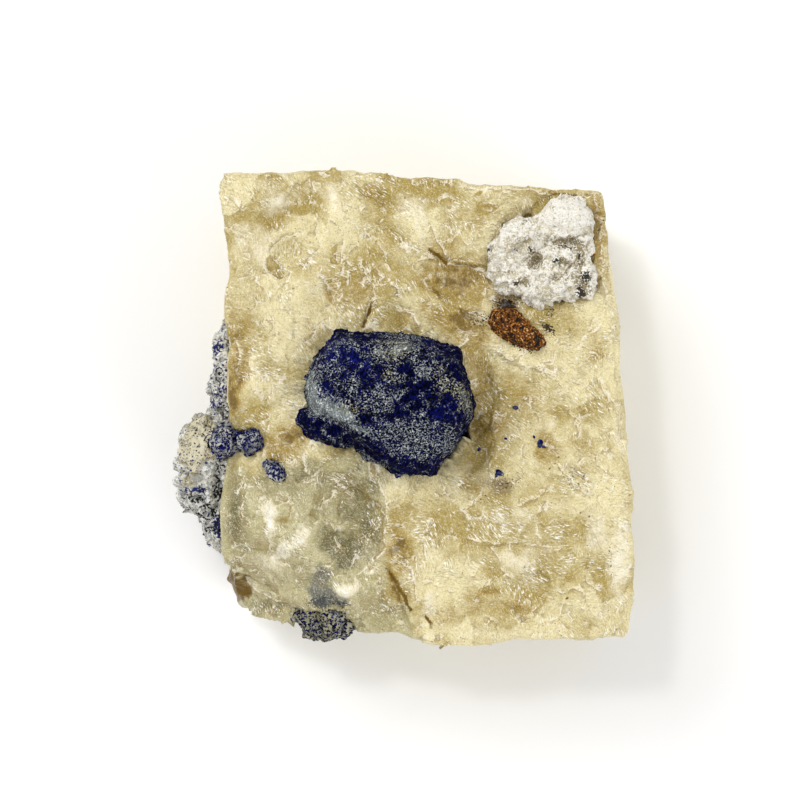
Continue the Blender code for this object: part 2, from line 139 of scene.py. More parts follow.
def push(bm, amounts):
    """Moves each point along its normal by its own amount."""
    bm.normal_update()
    moves = [v.normal * float(a) for v, a in zip(bm.verts, amounts)]
    for vert, move in zip(bm.verts, moves):
        vert.co += move
    bm.normal_update()


def keep(bm, name, values):
    """Keeps a number at each point, for the material to read."""
    layer = bm.verts.layers.float.new(name)
    for vert, value in zip(bm.verts, values):
        vert[layer] = float(value)


def finished(bm, name, nodes, material):
    """Turns a bmesh in millimetres into a piece that stands for its CAD nodes."""
    bmesh.ops.scale(bm, vec=(MM,) * 3, verts=bm.verts[:])
    for face in bm.faces:
        face.smooth = True
    mesh = bpy.data.meshes.new(name)
    bm.to_mesh(mesh)
    bm.free()
    mesh.materials.append(material)
    piece = bpy.data.objects.new(name, mesh)
    bpy.context.scene.collection.objects.link(piece)
    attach(piece, "root")
    if nodes:
        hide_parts(*nodes)
    mesh.calc_loop_triangles()
    print(name, "has", len(mesh.loop_triangles), "triangles")
    return piece


# %% [markdown]
# Broken stone needs three kinds of relief. Rolling noise gives lumps. Cleavage is flat: a marble
# is made of grains, and in each grain the calcite splits along its own plane, in steps that run
# one way. So space is cut into cells, and each cell gets its own tilt and its own stairs. Round
# knobs suit the granular minerals. All three read the point's place, so they never repeat.

# %% Relief of broken stone
# noise_vector starts from the clock unless it gets a seed
noise.seed_set(12)


def rolling(spots, size, seed=0.0):
    """Smooth noise from about -0.6 to 0.6 with lumps of one size, at each point."""
    shift = Vector((seed, 2 * seed, 3 * seed))
    return np.array([noise.noise(Vector(p) / size + shift) for p in spots])


def wandered(spots, size, far, seed=0.0):
    """The x and y of each point, moved a little, so that the listed shapes get uneven edges."""
    shift = Vector((seed, 0, 0))
    moves = np.array([noise.noise_vector(Vector(p) / size + shift)[:2] for p in spots])
    return spots[:, 0] + far * moves[:, 0], spots[:, 1] + far * moves[:, 1]


def cleaved(spots, size, seed=0.0):
    """Cleaved grains: the relief, each grain's tone, and the signed distance to the next seam."""
    relief, tone, seam = [], [], []
    shift = Vector((seed, -seed, 2 * seed))
    for spot in spots:
        place = Vector(spot) / size + shift
        place += 0.25 * noise.noise_vector(1.6 * place)
        distances, middles = noise.voronoi(place)
        middle = middles[0]
        away = place - middle
        lean = noise.noise_vector(3.7 * middle)
        way = noise.noise_vector(9.1 * middle).normalized()
        stairs = 4.0 * (away - 0.8 * away.dot(way) * way) + 3.1 * middle
        relief.append(size * (lean.dot(away) + 0.04 * round(3 * noise.noise(stairs))))
        tone.append(noise.noise(5.3 * middle))
        side = 1 if tone[-1] > noise.noise(5.3 * middles[1]) else -1
        seam.append(side * size * (distances[1] - distances[0]))
    return np.array(relief), np.array(tone), np.array(seam)


def stain_at(spots, stains, far=0.8, seed=1.0):
    """How much of a stain lies at each point, from 0 to 2, with uneven edges."""
    return np.clip(swell(*wandered(spots, 2.5, far, seed), stains), 0, 2)


def knobs(spots, size, seed=0.0):
    """Round grains side by side, 1 at a grain's middle and 0 between grains."""
    shift = Vector((seed, seed, -seed))
    return np.array([1 - min(1.0, noise.voronoi(Vector(p) / size + shift)[0][0]) for p in spots])


# %% [markdown]
# A material is named for its mineral. Colours are written as sRGB hex, as a colour picker
# shows them, and one function turns them linear for the shader. One more function adds a node
# with its settings and its inputs. A stone's colour is thought of as layers, like glazes on a
# pot: each layer shows only where some value is high enough.

# %% Node and colour helpers
def linear(hex_color):
    """A linear colour from sRGB hex."""
    parts = [int(hex_color[i:i + 2], 16) / 255 for i in (1, 3, 5)]
    return tuple(c / 12.92 if c <= 0.04045 else ((c + 0.055) / 1.055) ** 2.4 for c in parts) + (1.0,)


def add(tree, kind, inputs, **settings):
    """Adds a node. Each input is a socket to link, a hex colour or a plain value."""
    node = tree.nodes.new("ShaderNode" + kind)
    for name, value in settings.items():
        setattr(node, name, value)
    for name, value in inputs.items():
        if isinstance(value, bpy.types.NodeSocket):
            tree.links.new(value, node.inputs[name])
        else:
            node.inputs[name].default_value = linear(value) if isinstance(value, str) else value
    return node


def new_material(name, roughness, specular):
    """A new material: its tree, its shader and its coordinates in millimetres."""
    material = bpy.data.materials.new(name)
    material.use_nodes = True
    tree = material.node_tree
    shader = tree.nodes["Principled BSDF"]
    shader.inputs["Roughness"].default_value = roughness
    shader.inputs["Specular IOR Level"].default_value = specular
    where = add(tree, "TexCoord", {}).outputs["Object"]
    in_mm = add(tree, "VectorMath", {0: where, "Scale": 1 / MM}, operation="SCALE").outputs[0]
    return material, tree, shader, in_mm


def kept(tree, *names):
    """The numbers that a mesh keeps at its points, by name."""
    return {name: add(tree, "Attribute", {}, attribute_name=name).outputs["Fac"] for name in names}


def wandering(tree, in_mm, size, far):
    """Coordinates that wander, so that cells and lines lose their straight edges."""
    wander = add(tree, "TexNoise", {"Vector": in_mm, "Scale": 1 / size, "Detail": 3.0}).outputs["Color"]
    shift = {0: wander, 1: (far,) * 3, 2: (-far / 2,) * 3}
    shift = add(tree, "VectorMath", shift, operation="MULTIPLY_ADD").outputs[0]
    return add(tree, "VectorMath", {0: in_mm, 1: shift}, operation="ADD").outputs[0]


def layered(tree, color, layers):
    """Lays colours over each other, each where its value passes from start to end."""
    for value, start, end, amount, layer in layers:
        share = {0: value, 1: start, 2: end, 4: amount}
        share = add(tree, "MapRange", share, interpolation_type="SMOOTHSTEP").outputs[0]
        color = add(tree, "Mix", {0: share, 6: color, 7: layer}, data_type="RGBA").outputs[2]
    return color


def threads(tree, place, size, near):
    """Curly threads: 1 on a line where a wandering noise is near its middle value."""
    fine = add(tree, "TexNoise", {"Vector": place, "Scale": 1 / size, "Detail": 1.5}).outputs[0]
    away = add(tree, "Math", {0: fine, 1: 0.5}, operation="SUBTRACT").outputs[0]
    away = add(tree, "Math", {0: away}, operation="ABSOLUTE").outputs[0]
    return add(tree, "MapRange", {0: away, 1: near, 2: near / 2}).outputs[0]


def flaked(tree, place, lengths):
    """The height of flat flakes of some lengths in mm, each tilted its own way."""
    flat = {0: place, 1: tuple(1 / length for length in lengths)}
    flat = add(tree, "VectorMath", flat, operation="MULTIPLY").outputs[0]
    facet = add(tree, "TexVoronoi", {"Vector": flat, "Scale": 1.0})
    tilt = add(tree, "VectorMath", {0: facet.outputs["Color"], 1: (0.5,) * 3}, operation="SUBTRACT")
    away = add(tree, "VectorMath", {0: flat, 1: facet.outputs["Position"]}, operation="SUBTRACT")
    slope = {0: tilt.outputs[0], 1: away.outputs[0]}
    return add(tree, "VectorMath", slope, operation="DOT_PRODUCT").outputs["Value"]


# %% [markdown]
# ## Honey calcite
# Calcite grown in marble is a patchwork of grains 3 to 8 mm wide. Light sinks into it, so each
# grain has its own tone. Thin white lines, partly whitish veils and partly painted highlights, run
# where two grains part, with a painted highlight on one side of them and painted shade on the
# other. Where it broke roughly, glints a fifth of a millimetre wide crowd together, side by side
# like the cleavage that they lie on; they are painted highlights, among light and dark streaks of
# painted glint and shade. An image texture could show all this, but it would have one size and
# one side. Numbers kept on the mesh say where this one block has its stains, its painted light
# and shade and its lines, and noise in real millimetres does the rest.

# %% Honey calcite material
def honey_calcite():
    """Cleaved calcite: waxy, a little translucent, with white seams, stains, and painted glints, highlights
    and shade.
    """
    material, tree, shader, in_mm = new_material("Cleaved honey calcite", 0.35, 0.3)
    stains = ("ochre", "purple", "green", "grey", "pale", "brown")
    of = kept(tree, *stains, "tone", "clear", "blue", "specks", "glitter", "waxy", "line", "lined")
    loose = wandering(tree, in_mm, 4.0, 2.6)
    cloud = add(tree, "TexNoise", {"Vector": loose, "Scale": 1 / 9.0, "Detail": 3.0}).outputs[0]
    grit = {"Vector": in_mm, "Scale": 1 / 0.24, "Detail": 1.5, "Roughness": 0.7}
    grit = add(tree, "TexNoise", grit).outputs[0]
    frayed = {"Vector": in_mm, "Scale": 1 / 1.3, "Detail": 4.0, "Roughness": 0.65}
    frayed = add(tree, "TexNoise", frayed).outputs[0]
    patchy = {"Vector": in_mm, "Scale": 1 / 3.2, "Detail": 5.0, "Roughness": 0.62}
    patchy = add(tree, "TexNoise", patchy).outputs[0]
    dots = add(tree, "TexNoise", {"Vector": in_mm, "Scale": 1 / 0.28, "Detail": 2.0}).outputs[0]
    # each of these lifts a noise, and so shows where the noise is high
    for name, share, over in (
        ("tone", 0.3, cloud), ("blue", 0.22, dots), ("specks", 0.2, dots), ("glitter", 0.2, patchy),
    ):
        over = {0: of[name], 1: share, 2: over}
        of[name] = add(tree, "Math", over, operation="MULTIPLY_ADD").outputs[0]
    # stains get frayed edges, and where it is palest the grit is a snow of white
    fray = add(tree, "Math", {0: frayed, 1: 2.0}, operation="MULTIPLY").outputs[0]
    for name in stains:
        of[name] = add(tree, "Math", {0: of[name], 1: fray}, operation="MULTIPLY").outputs[0]
    snow = add(tree, "Math", {0: grit, 1: 5.0, 2: of["pale"]}, operation="MULTIPLY_ADD").outputs[0]
    # streaks lie one way in each grain: the light ones are painted glints and the dull ones painted shade of
    # cleavage steps
    grain = add(tree, "TexVoronoi", {"Vector": loose, "Scale": 1 / 5.0}).outputs["Color"]
    turn = {0: grain, 1: (0.7, 0.7, 1.6), 2: (-0.35, -0.35, 0.0)}
    turn = add(tree, "VectorMath", turn, operation="MULTIPLY_ADD").outputs[0]
    turned = {"Vector": wandering(tree, in_mm, 1.2, 0.5), "Rotation": turn}
    turned = add(tree, "VectorRotate", turned, rotation_type="EULER_XYZ").outputs[0]
    thin = {0: turned, 1: (1 / 0.85, 1 / 0.18, 1 / 0.35)}
    thin = add(tree, "VectorMath", thin, operation="MULTIPLY").outputs[0]
    streak = add(tree, "TexNoise", {"Vector": thin, "Scale": 1.0, "Detail": 1.5}).outputs[0]
    # and the painted glints are whitest where the stone glitters, faint where it is waxy
    dense = {0: of["glitter"], 1: 0.45, 2: 0.68}
    dense = add(tree, "MapRange", dense, interpolation_type="SMOOTHSTEP").outputs[0]
    rough = add(tree, "MapRange", {0: of["waxy"], 3: 0.4, 4: 0.1}).outputs[0]
    rough = add(tree, "Math", {0: dense, 1: 0.6, 2: rough}, operation="MULTIPLY_ADD").outputs[0]
    streaks = {}
    for name, start, end, share in (
        ("pale", 0.52, 0.66, rough), ("dull", 0.48, 0.36, rough), ("glint", 0.6, 0.66, dense),
    ):
        shown = add(tree, "MapRange", {0: streak, 1: start, 2: end}).outputs[0]
        streaks[name] = add(tree, "Math", {0: shown, 1: share}, operation="MULTIPLY").outputs[0]
    glint = add(tree, "Math", {0: streaks["glint"], 1: fray}, operation="MULTIPLY").outputs[0]
    # seams: the kept distance is above 0 on one side and below 0 on the other; a thin white line, partly
    # whitish veil and partly painted highlight, lies on it, with a painted highlight on the side above 0 and
    # painted shade on the other
    off = add(tree, "Math", {0: of["line"]}, operation="ABSOLUTE").outputs[0]
    width = add(tree, "Math", {0: frayed, 1: -0.9, 2: off}, operation="MULTIPLY_ADD").outputs[0]
    white = add(tree, "MapRange", {0: width, 1: -0.33, 2: -0.43}).outputs[0]
    above = add(tree, "Math", {0: of["line"], 1: 0.0}, operation="GREATER_THAN").outputs[0]
    lit = add(tree, "MapRange", {0: of["line"], 1: 1.2, 2: 0.0}).outputs[0]
    lit = add(tree, "Math", {0: lit, 1: above}, operation="MULTIPLY").outputs[0]
    strokes = add(tree, "MapRange", {0: streak, 1: 0.42, 2: 0.6, 3: 0.3, 4: 1.2}).outputs[0]
    lit = add(tree, "Math", {0: lit, 1: strokes}, operation="MULTIPLY").outputs[0]
    dark = add(tree, "MapRange", {0: of["line"], 1: -0.8, 2: 0.0}).outputs[0]
    dark = add(tree, "Math", {0: dark, 1: above}, operation="SUBTRACT").outputs[0]
    white, lit, dark = (
        add(tree, "Math", {0: part, 1: of["lined"]}, operation="MULTIPLY").outputs[0]
        for part in (white, lit, dark)
    )
    color = layered(tree, linear("#AA9448"), [
        # tone: each grain's own tone, plus painted light and shade that follow the relief
        (of["tone"], 0.22, 0.74, 1.0, "#E8DCAC"),
        (of["clear"], 0.0, 1.0, 0.75, "#B2AC82"),
        (of["green"], 0.0, 1.3, 1.0, "#706A42"),
        # ochre stain, and deeper ochre where it is painted shade
        (of["ochre"], 0.0, 1.1, 1.0, "#A68C40"),
        (of["ochre"], 1.1, 1.9, 1.0, "#7A5C18"),
        (of["purple"], 0.0, 1.2, 1.0, "#84704A"),
        (of["grey"], 0.1, 1.8, 1.0, "#6C6E64"),
        # painted shade on one side of the seams, then a painted highlight on the other
        (dark, 0.0, 1.0, 0.6, "#8C7030"),
        (lit, 0.0, 1.0, 0.6, "#F8EFCF"),
        # pale where it is full of fine cracks, and a painted highlight on the bulge at the lower left
        (of["pale"], 0.1, 1.2, 1.0, "#F0E7C8"),
        (grit, 0.52, 0.66, 0.3, "#8E7434"),
        (grit, 0.48, 0.34, 0.3, "#FFFAE6"),
        # painted shade, then painted glints, of the cleavage steps
        (streaks["dull"], 0.0, 1.0, 0.45, "#8E7434"),
        (streaks["pale"], 0.0, 1.0, 0.45, "#FCF3D4"),
        # painted glints: bright specks of light in the colour
        (glint, 0.1, 0.8, 0.95, "#FFFEF6"),
        # the thin white seam lines: partly whitish veil, partly painted highlight
        (white, 0.2, 1.0, 0.6, "#FFF9E6"),
        # deep ochre over the glints: the deepest ochre stain, and painted shade at the foot of the big
        # crystal
        (of["ochre"], 0.9, 1.7, 0.75, "#735A18"),
        (snow, 4.1, 4.5, 0.9, "#FFFEF6"),
        (of["brown"], 0.3, 0.9, 1.0, "#6E5200"),
        (of["blue"], 0.74, 0.8, 0.8, "#30363C"),
        (of["specks"], 0.7, 0.75, 1.0, "#241600"),
    ])
    tree.links.new(color, shader.inputs["Base Color"])
    shader.inputs["IOR"].default_value = 1.56
    shader.inputs["Subsurface Weight"].default_value = 0.15
    shader.inputs["Subsurface Radius"].default_value = (1.0, 0.8, 0.45)
    shader.inputs["Subsurface Scale"].default_value = 1.5 * MM
    # tilted flakes that lie like the streaks: 1.6 mm, then 0.7 mm long
    normal = None
    for lengths, height in (((1.6, 0.6, 0.9), 0.34), ((0.7, 0.25, 0.35), 0.18)):
        slope = {0: flaked(tree, turned, lengths), 1: rough}
        slope = add(tree, "Math", slope, operation="MULTIPLY").outputs[0]
        relief = {"Height": slope, "Distance": height * MM}
        if normal:
            relief["Normal"] = normal
        normal = add(tree, "Bump", relief).outputs[0]
    tree.links.new(normal, shader.inputs["Normal"])
    return material


calcite = honey_calcite()
print(calcite.name, "has", len(calcite.node_tree.nodes), "nodes")

# %% [markdown]
# ## Lazurite
# Lazurite rock is a mass of fine blue grains, 0.2 to 0.4 mm wide. Its faces were etched and are
# dull. A pale film of calcite and diopside lies in its pores: a net of curly threads a sixth of
# a millimetre wide on the big crystal, spots on the small ones, and a closed skin where it is
# thick. How much of each lies where is kept on the mesh.

# %% Lazurite material
def lazurite_rock():
    """Granular lazurite: dull navy to royal blue under a net of pale film."""
    material, tree, shader, in_mm = new_material("Fine-grained lazurite with pale film", 0.6, 0.02)
    of = kept(tree, "film", "royal", "olive", "spots")
    # blue grains, brighter where the mesh says royal
    grain = {"Vector": in_mm, "Scale": 1 / 0.34, "Detail": 2.5, "Roughness": 0.6}
    grain = add(tree, "TexNoise", grain).outputs[0]
    cloud = add(tree, "TexNoise", {"Vector": in_mm, "Scale": 1 / 2.6, "Detail": 3.0}).outputs[0]
    lit = add(tree, "Math", {0: of["royal"], 1: 0.14, 2: grain}, operation="MULTIPLY_ADD").outputs[0]
    lit = add(tree, "Math", {0: cloud, 1: 0.16, 2: lit}, operation="MULTIPLY_ADD").outputs[0]
    # the film as threads of two sizes
    wriggle = wandering(tree, in_mm, 0.9, 0.9)
    wide, narrow = threads(tree, wriggle, 0.8, 0.05), threads(tree, wriggle, 0.4, 0.07)
    net = add(tree, "Math", {0: wide, 1: narrow}, operation="MAXIMUM").outputs[0]
    gaps = add(tree, "TexNoise", {"Vector": in_mm, "Scale": 1 / 0.26, "Detail": 1.0}).outputs[0]
    gaps = add(tree, "MapRange", {0: gaps, 1: 0.42, 2: 0.54}).outputs[0]
    net = add(tree, "Math", {0: net, 1: gaps}, operation="MULTIPLY").outputs[0]
    patchy = {"Vector": in_mm, "Scale": 1 / 1.3, "Detail": 4.0, "Roughness": 0.65}
    patchy = add(tree, "TexNoise", patchy).outputs[0]
    held = add(tree, "Math", {0: of["film"], 1: 0.36, 2: patchy}, operation="MULTIPLY_ADD").outputs[0]
    some = add(tree, "MapRange", {0: held, 1: 0.46, 2: 0.76}, interpolation_type="SMOOTHSTEP").outputs[0]
    net = add(tree, "Math", {0: net, 1: some}, operation="MULTIPLY").outputs[0]
    # spots on the small crystals, a closed skin where there is most film
    blob = add(tree, "TexNoise", {"Vector": wriggle, "Scale": 1 / 0.5, "Detail": 1.5}).outputs[0]
    spots = add(tree, "MapRange", {0: blob, 1: 0.47, 2: 0.55}).outputs[0]
    spots = add(tree, "Math", {0: spots, 1: of["spots"]}, operation="MULTIPLY").outputs[0]
    skin = add(tree, "Math", {0: blob, 1: 0.25, 2: held}, operation="MULTIPLY_ADD").outputs[0]
    skin = add(tree, "MapRange", {0: skin, 1: 0.9, 2: 1.26}, interpolation_type="SMOOTHSTEP").outputs[0]
    film = add(tree, "Math", {0: net, 1: skin}, operation="MAXIMUM").outputs[0]
    pale = layered(tree, linear("#98A2AA"), [
        (of["olive"], 0.0, 1.0, 1.0, "#A8A27A"),
        (grain, 0.45, 0.62, 1.0, "#E6E8E0"),
    ])
    spot_color = layered(tree, linear("#D0D0CA"), [(of["olive"], 0.0, 1.0, 1.0, "#A8A280")])
    color = layered(tree, linear("#000108"), [
        (lit, 0.52, 0.68, 1.0, "#0A0E48"),
        (lit, 0.72, 0.86, 0.85, "#16238A"),
        (skin, 0.0, 1.0, 0.85, "#7A8280"),
        (net, 0.0, 0.8, 0.97, pale),
        (spots, 0.2, 0.8, 0.92, spot_color),
    ])
    tree.links.new(color, shader.inputs["Base Color"])
    height = add(tree, "Math", {0: grain, 1: film}, operation="ADD").outputs[0]
    normal = add(tree, "Bump", {"Height": height, "Distance": 0.3 * MM}).outputs[0]
    tree.links.new(normal, shader.inputs["Normal"])
    return material


lazurite = lazurite_rock()
print(lazurite.name, "has", len(lazurite.node_tree.nodes), "nodes")

# %% [markdown]
# ## The minerals around the crystal
# The white patch is a porous mass of fine diopside: chalky on its knobs, with grey and tan
# painted shade in its pores. The rusty grain is iron oxide, orange-brown with black specks and
# black painted shade in its hollows. The crust on the left is wall rock, a mix of cream, grey and
# blue grains, with dark painted shade in its crevices. All three are granular and matt, so one
# function makes them: it takes the size of the crumbs, their layers of colour and their relief.

# %% White diopside, iron oxide and wall rock materials
def granular(name, roughness, crumb, speck, names, layers):
    """A matt granular material: its base and its layers, which may read its crumbs and numbers."""
    material, tree, shader, in_mm = new_material(name, roughness, 0.25)
    of = kept(tree, *names)
    noise_node = {"Vector": in_mm, "Scale": 1 / crumb, "Detail": 4.0, "Roughness": 0.7}
    of["crumb"] = add(tree, "TexNoise", noise_node).outputs[0]
    of["speck"] = add(tree, "TexNoise", {"Vector": in_mm, "Scale": 1 / speck, "Detail": 2.5}).outputs[0]
    color = None
    for first, share, second, start, end, amount, layer in layers:
        value = {0: of[first], 1: share, 2: of[second]}
        value = add(tree, "Math", value, operation="MULTIPLY_ADD").outputs[0]
        color = layered(tree, color or linear(layer), [(value, start, end, amount, layer)])
    tree.links.new(color, shader.inputs["Base Color"])
    height = {0: flaked(tree, in_mm, (2 * crumb,) * 3), 1: 2.0, 2: of["speck"]}
    height = add(tree, "Math", height, operation="MULTIPLY_ADD").outputs[0]
    normal = add(tree, "Bump", {"Height": height, "Distance": 0.4 * MM}).outputs[0]
    tree.links.new(normal, shader.inputs["Normal"])
    return material


# each layer: a value, how much of it, what it is added to, where it starts and ends, amount, colour
diopside = granular("Porous white diopside", 0.7, 0.6, 0.3, ("hollow_shade", "pore_shade", "black"), [
    ("crumb", 0.0, "crumb", 0.0, 1.0, 1.0, "#FAF5E8"),
    # painted shade: tan where the surface lies deeper
    ("hollow_shade", 0.25, "crumb", 0.5, 0.72, 0.9, "#CFC4A6"),
    # tan painted shade in the listed hollows and under the chalky lump
    ("pore_shade", 0.32, "crumb", 0.56, 0.8, 1.0, "#93835C"),
    ("speck", 0.0, "speck", 0.54, 0.66, 0.25, "#C4B898"),
    ("speck", 0.0, "speck", 0.48, 0.36, 0.8, "#FFFFFC"),
    ("black", 0.3, "speck", 0.72, 0.8, 0.95, "#2A2418"),
])
rust = granular("Granular iron oxide", 0.6, 0.5, 0.3, ("hollow_shade",), [
    ("crumb", 0.0, "crumb", 0.0, 1.0, 1.0, "#6A3606"),
    ("speck", 0.0, "speck", 0.5, 0.6, 1.0, "#BC7820"),
    # pale specks, fewer where it lies deeper, then painted black shade in the hollows
    ("hollow_shade", -0.2, "speck", 0.58, 0.64, 0.95, "#F0D090"),
    ("hollow_shade", 0.3, "crumb", 0.58, 0.68, 1.0, "#120A04"),
    ("speck", 0.0, "speck", 0.42, 0.36, 1.0, "#120A04"),
])
skarn = granular("Granular wall rock", 0.8, 0.9, 0.4, ("hollow_shade", "blue", "cream"), [
    ("crumb", 0.0, "crumb", 0.0, 1.0, 1.0, "#A2A39C"),
    ("cream", 0.0, "crumb", 0.4, 0.58, 1.0, "#F2EFE6"),
    ("cream", 0.45, "crumb", 0.66, 1.0, 1.0, "#8E845E"),
    ("cream", 0.35, "speck", 0.78, 0.9, 1.0, "#DCD4B8"),
    ("blue", 0.14, "speck", 0.58, 0.66, 1.0, "#1C2560"),
    # painted dark shade in the hollows and crevices
    ("hollow_shade", 0.42, "speck", 0.8, 0.94, 1.0, "#1A1D22"),
])
print("Materials:", diopside.name, rust.name, skarn.name, sep="; ")

# %% [markdown]
# ## The big crystal
# It is a rhombic dodecahedron, the usual form of lazurite, with blunt edges and a rough skin.
# The CAD crystal has the faces. Its fine copy keeps them, rounds the edges a little, and takes
# on small hollows and grit. Film lies on the left edge, on the faces that look up, and in a
# band across the right.

# %% Film and colour of the big crystal
# soft spots in mm: middle x and y, half-lengths, turn in degrees, amount
CRYSTAL_FILM = [
    (-10.8, 0.2, 6.0, 2.6, -16, 2.2), (-13.5, 3.2, 1.7, 5.2, 6, 2.0), (-6.9, -2.2, 4.4, 1.6, -30, 1.3),
    (-2.1, 8.6, 4.4, 2.8, 0, 1.3), (0.9, 9.5, 3.0, 2.2, 0, 1.2), (-1.2, 5.0, 2.4, 2.0, 0, 1.1),
    (3.3, 5.9, 3.4, 2.0, -30, 1.0), (7.8, 2.9, 1.9, 4.6, 38, 1.1), (1.5, -4.2, 8.4, 4.6, -12, 0.85),
    (-3.6, 1.5, 4.0, 2.6, 10, 0.95), (-7.5, 3.6, 2.8, 2.2, 20, 0.8), (9.6, 0.6, 1.4, 4.6, 10, 0.9),
    (7.2, -5.4, 2.4, 3.4, 30, 0.7), (-7.5, -6.4, 3.6, 0.9, -35, 1.2), (-11.1, -4.0, 0.5, 2.0, 40, 1.2),
    (-8.6, 9.6, 4.0, 2.2, 0, 0.5), (-4.5, -7.9, 4.0, 0.8, -20, 1.0), (-10.8, 6.2, 4.0, 4.0, 0, 0.5),
    (-0.3, 11.1, 8.0, 0.8, -6, 0.4), (4.5, 8.6, 2.0, 2.0, 0, 0.3),
]
CRYSTAL_ROYAL = [
    (-8.6, 7.4, 5.2, 4.6, 0, 0.7), (-5.6, 7.1, 2.2, 1.4, 0, 0.5), (-11.6, 2.6, 2.4, 1.2, -25, 0.9),
    (6.4, -0.1, 3.2, 2.4, 0, 0.5), (4.2, 9.6, 2.4, 1.4, -15, 0.6), (-3.3, -2.4, 2.6, 1.4, 0, 0.6),
    (-10.8, 9.6, 2.6, 2.4, 0, 0.6), (-12.3, -4.6, 2.0, 1.0, 0, 0.4), (4.2, -8.4, 2.0, 1.0, 0, 0.5),
]
CRYSTAL_OLIVE = [
    (6.9, 3.6, 3.4, 5.6, 38, 1.3), (-1.1, 8.6, 5.0, 3.4, 0, 0.75), (-1.5, 5.0, 2.4, 1.6, 0, 1.2),
    (-7.5, 0.2, 2.6, 1.4, 0, 1.1), (9.4, 1.4, 2.0, 4.0, 10, 1.0),
]
print("Spots of film on the big crystal:", len(CRYSTAL_FILM))

# %% Big crystal
# where the real outline stands in or out from the flat-faced solid
CRYSTAL_FORMS = [
    (9.9, -5.4, 2.2, 6.4, -30, -1.2), (-14.6, 2.0, 1.6, 3.4, 0, 0.6), (-5.9, -7.4, 2.2, 1.2, -25, 0.6),
    (-3.0, -8.9, 3.0, 1.0, -30, -0.5), (-9.6, 11.9, 4.0, 1.2, 15, 0.4), (8.7, 9.0, 1.4, 2.0, 0, 0.3),
    (-16.8, -3.9, 1.4, 2.0, 0, 0.4), (4.5, -10.6, 4.0, 0.8, 0, -0.3), (12.6, 0.5, 0.9, 3.0, 0, -0.5),
    (6.6, -8.8, 2.2, 2.6, -30, -0.8), (0.0, 11.5, 6.0, 1.0, 5, 0.3), (-15.5, -1.2, 1.6, 2.0, 0, 0.5),
]
crystal = even_copy("lazurite_crystal", voxel=0.24, rounds=2)
at = places(crystal)
grit = 0.24 * rolling(at, 0.8, 3.0) + 0.18 * rolling(at, 0.45, 8.0)
forms = swell(at[:, 0], at[:, 1], CRYSTAL_FORMS)
push(crystal, 0.22 * rolling(at, 2.4) + grit + 0.25 * cleaved(at, 1.6)[0] + forms - 0.03)
at = places(crystal)
# on steep sides the listed film gives way to patches of it
level = 0.25 + 0.75 * soft_step(normals(crystal)[:, 2] * 2 + 0.2)
keep(crystal, "film", stain_at(at, CRYSTAL_FILM, 0.9) * level + 0.3 * rolling(at, 4.0, 6.0) * (1 - level))
keep(crystal, "royal", stain_at(at, CRYSTAL_ROYAL, 1.2))
keep(crystal, "olive", stain_at(at, CRYSTAL_OLIVE, 1.2))
keep(crystal, "spots", np.zeros(len(at)))
pieces = {"lazurite_crystal": crystal}
print("Big crystal has", len(crystal.faces), "faces")

# %% [markdown]
# ## Small blue crystals
# The pair at the left edge, the small one on the face and the cluster at the foot are the same
# mineral. They are coarser: knobs half a millimetre wide, with white between them.

# %% Small blue crystals
# node, width of a knob in mm, white spots, growth in mm, royal, olive, and forms placed one by one
SMALL = (
    ("lazurite_edge_pair", 0.9, 0.55, 0.0, 0.6, 0.0, [(-23.3, -6.9, 2.0, 0.8, 0, 0.4)]),
    ("lazurite_small_crystal", 0.7, 0.85, 0.25, 0.9, 0.0, [(-19.4, -9.4, 1.6, 1.6, 0, 0.7)]),
    ("lazurite_foot_cluster", 1.1, 0.75, 0.1, 0.3, 0.8, [
        (-12.0, -34.3, 3.6, 1.6, 0, 0.5), (-15.9, -33.7, 1.4, 1.8, 0, -0.8), (-7.4, -34.0, 1.4, 1.6, 0, -0.9),
        (-12.6, -29.5, 3.0, 1.4, 0, 0.4), (-15.9, -30.4, 1.6, 1.4, 0, 0.4),
    ]),
)
for node, knob, white, grow, royal, olive, forms in SMALL:
    grain = even_copy(node, voxel=0.14, rounds=1)
    at = places(grain)
    lumps = 0.45 * (knobs(at, knob, 5.0) - 0.5) + 0.45 * rolling(at, 1.0, 5.0) + 0.2 * rolling(at, 0.4, 7.0)
    push(grain, grow + lumps + swell(at[:, 0], at[:, 1], forms))
    keep(grain, "film", np.full(len(at), 0.2))
    keep(grain, "royal", np.clip(royal + rolling(at, 1.6, 11.0), 0, 1))
    keep(grain, "olive", np.clip(olive + rolling(at, 2.0, 4.0), 0, 1))
    keep(grain, "spots", np.clip(white + 0.6 * rolling(at, 1.8, 2.0), 0, 1))
    pieces[node] = grain
    print(node, "has", len(grain.faces), "faces")

# %% [markdown]
# ## White patch, rusty grain and wall rock
# Their relief is deeper than the crystals': crumbs with pores between them. The patch has one
# smooth chalky lump and some deep hollows in known places. How deep each point lies is kept on
# the mesh, and the material paints shade there, darker where deeper. Sculpting by hand would give
# the same look, but not from a script that can be run again.

# %% Forms, painted shade and black grains of the white patch
PATCH_FORMS = [
    (24.3, 29.0, 4.6, 3.3, 0, 1.0), (24.0, 24.8, 4.6, 1.1, 0, -1.5), (20.1, 22.2, 1.4, 1.9, 0, -1.7),
    (20.2, 25.4, 0.6, 1.9, 8, 0.8), (15.9, 22.7, 3.4, 4.2, -30, 0.4), (23.7, 21.9, 1.3, 0.9, 0, -0.9),
    (26.8, 22.1, 1.4, 1.3, 0, -0.9), (27.0, 18.5, 1.6, 1.6, 0, -0.9), (18.0, 18.8, 0.8, 0.8, 0, -0.8),
    (21.9, 17.9, 4.2, 1.8, 20, 0.5), (18.0, 24.8, 1.4, 1.6, 0, -0.6), (15.6, 19.7, 1.2, 0.8, 0, -0.4),
]
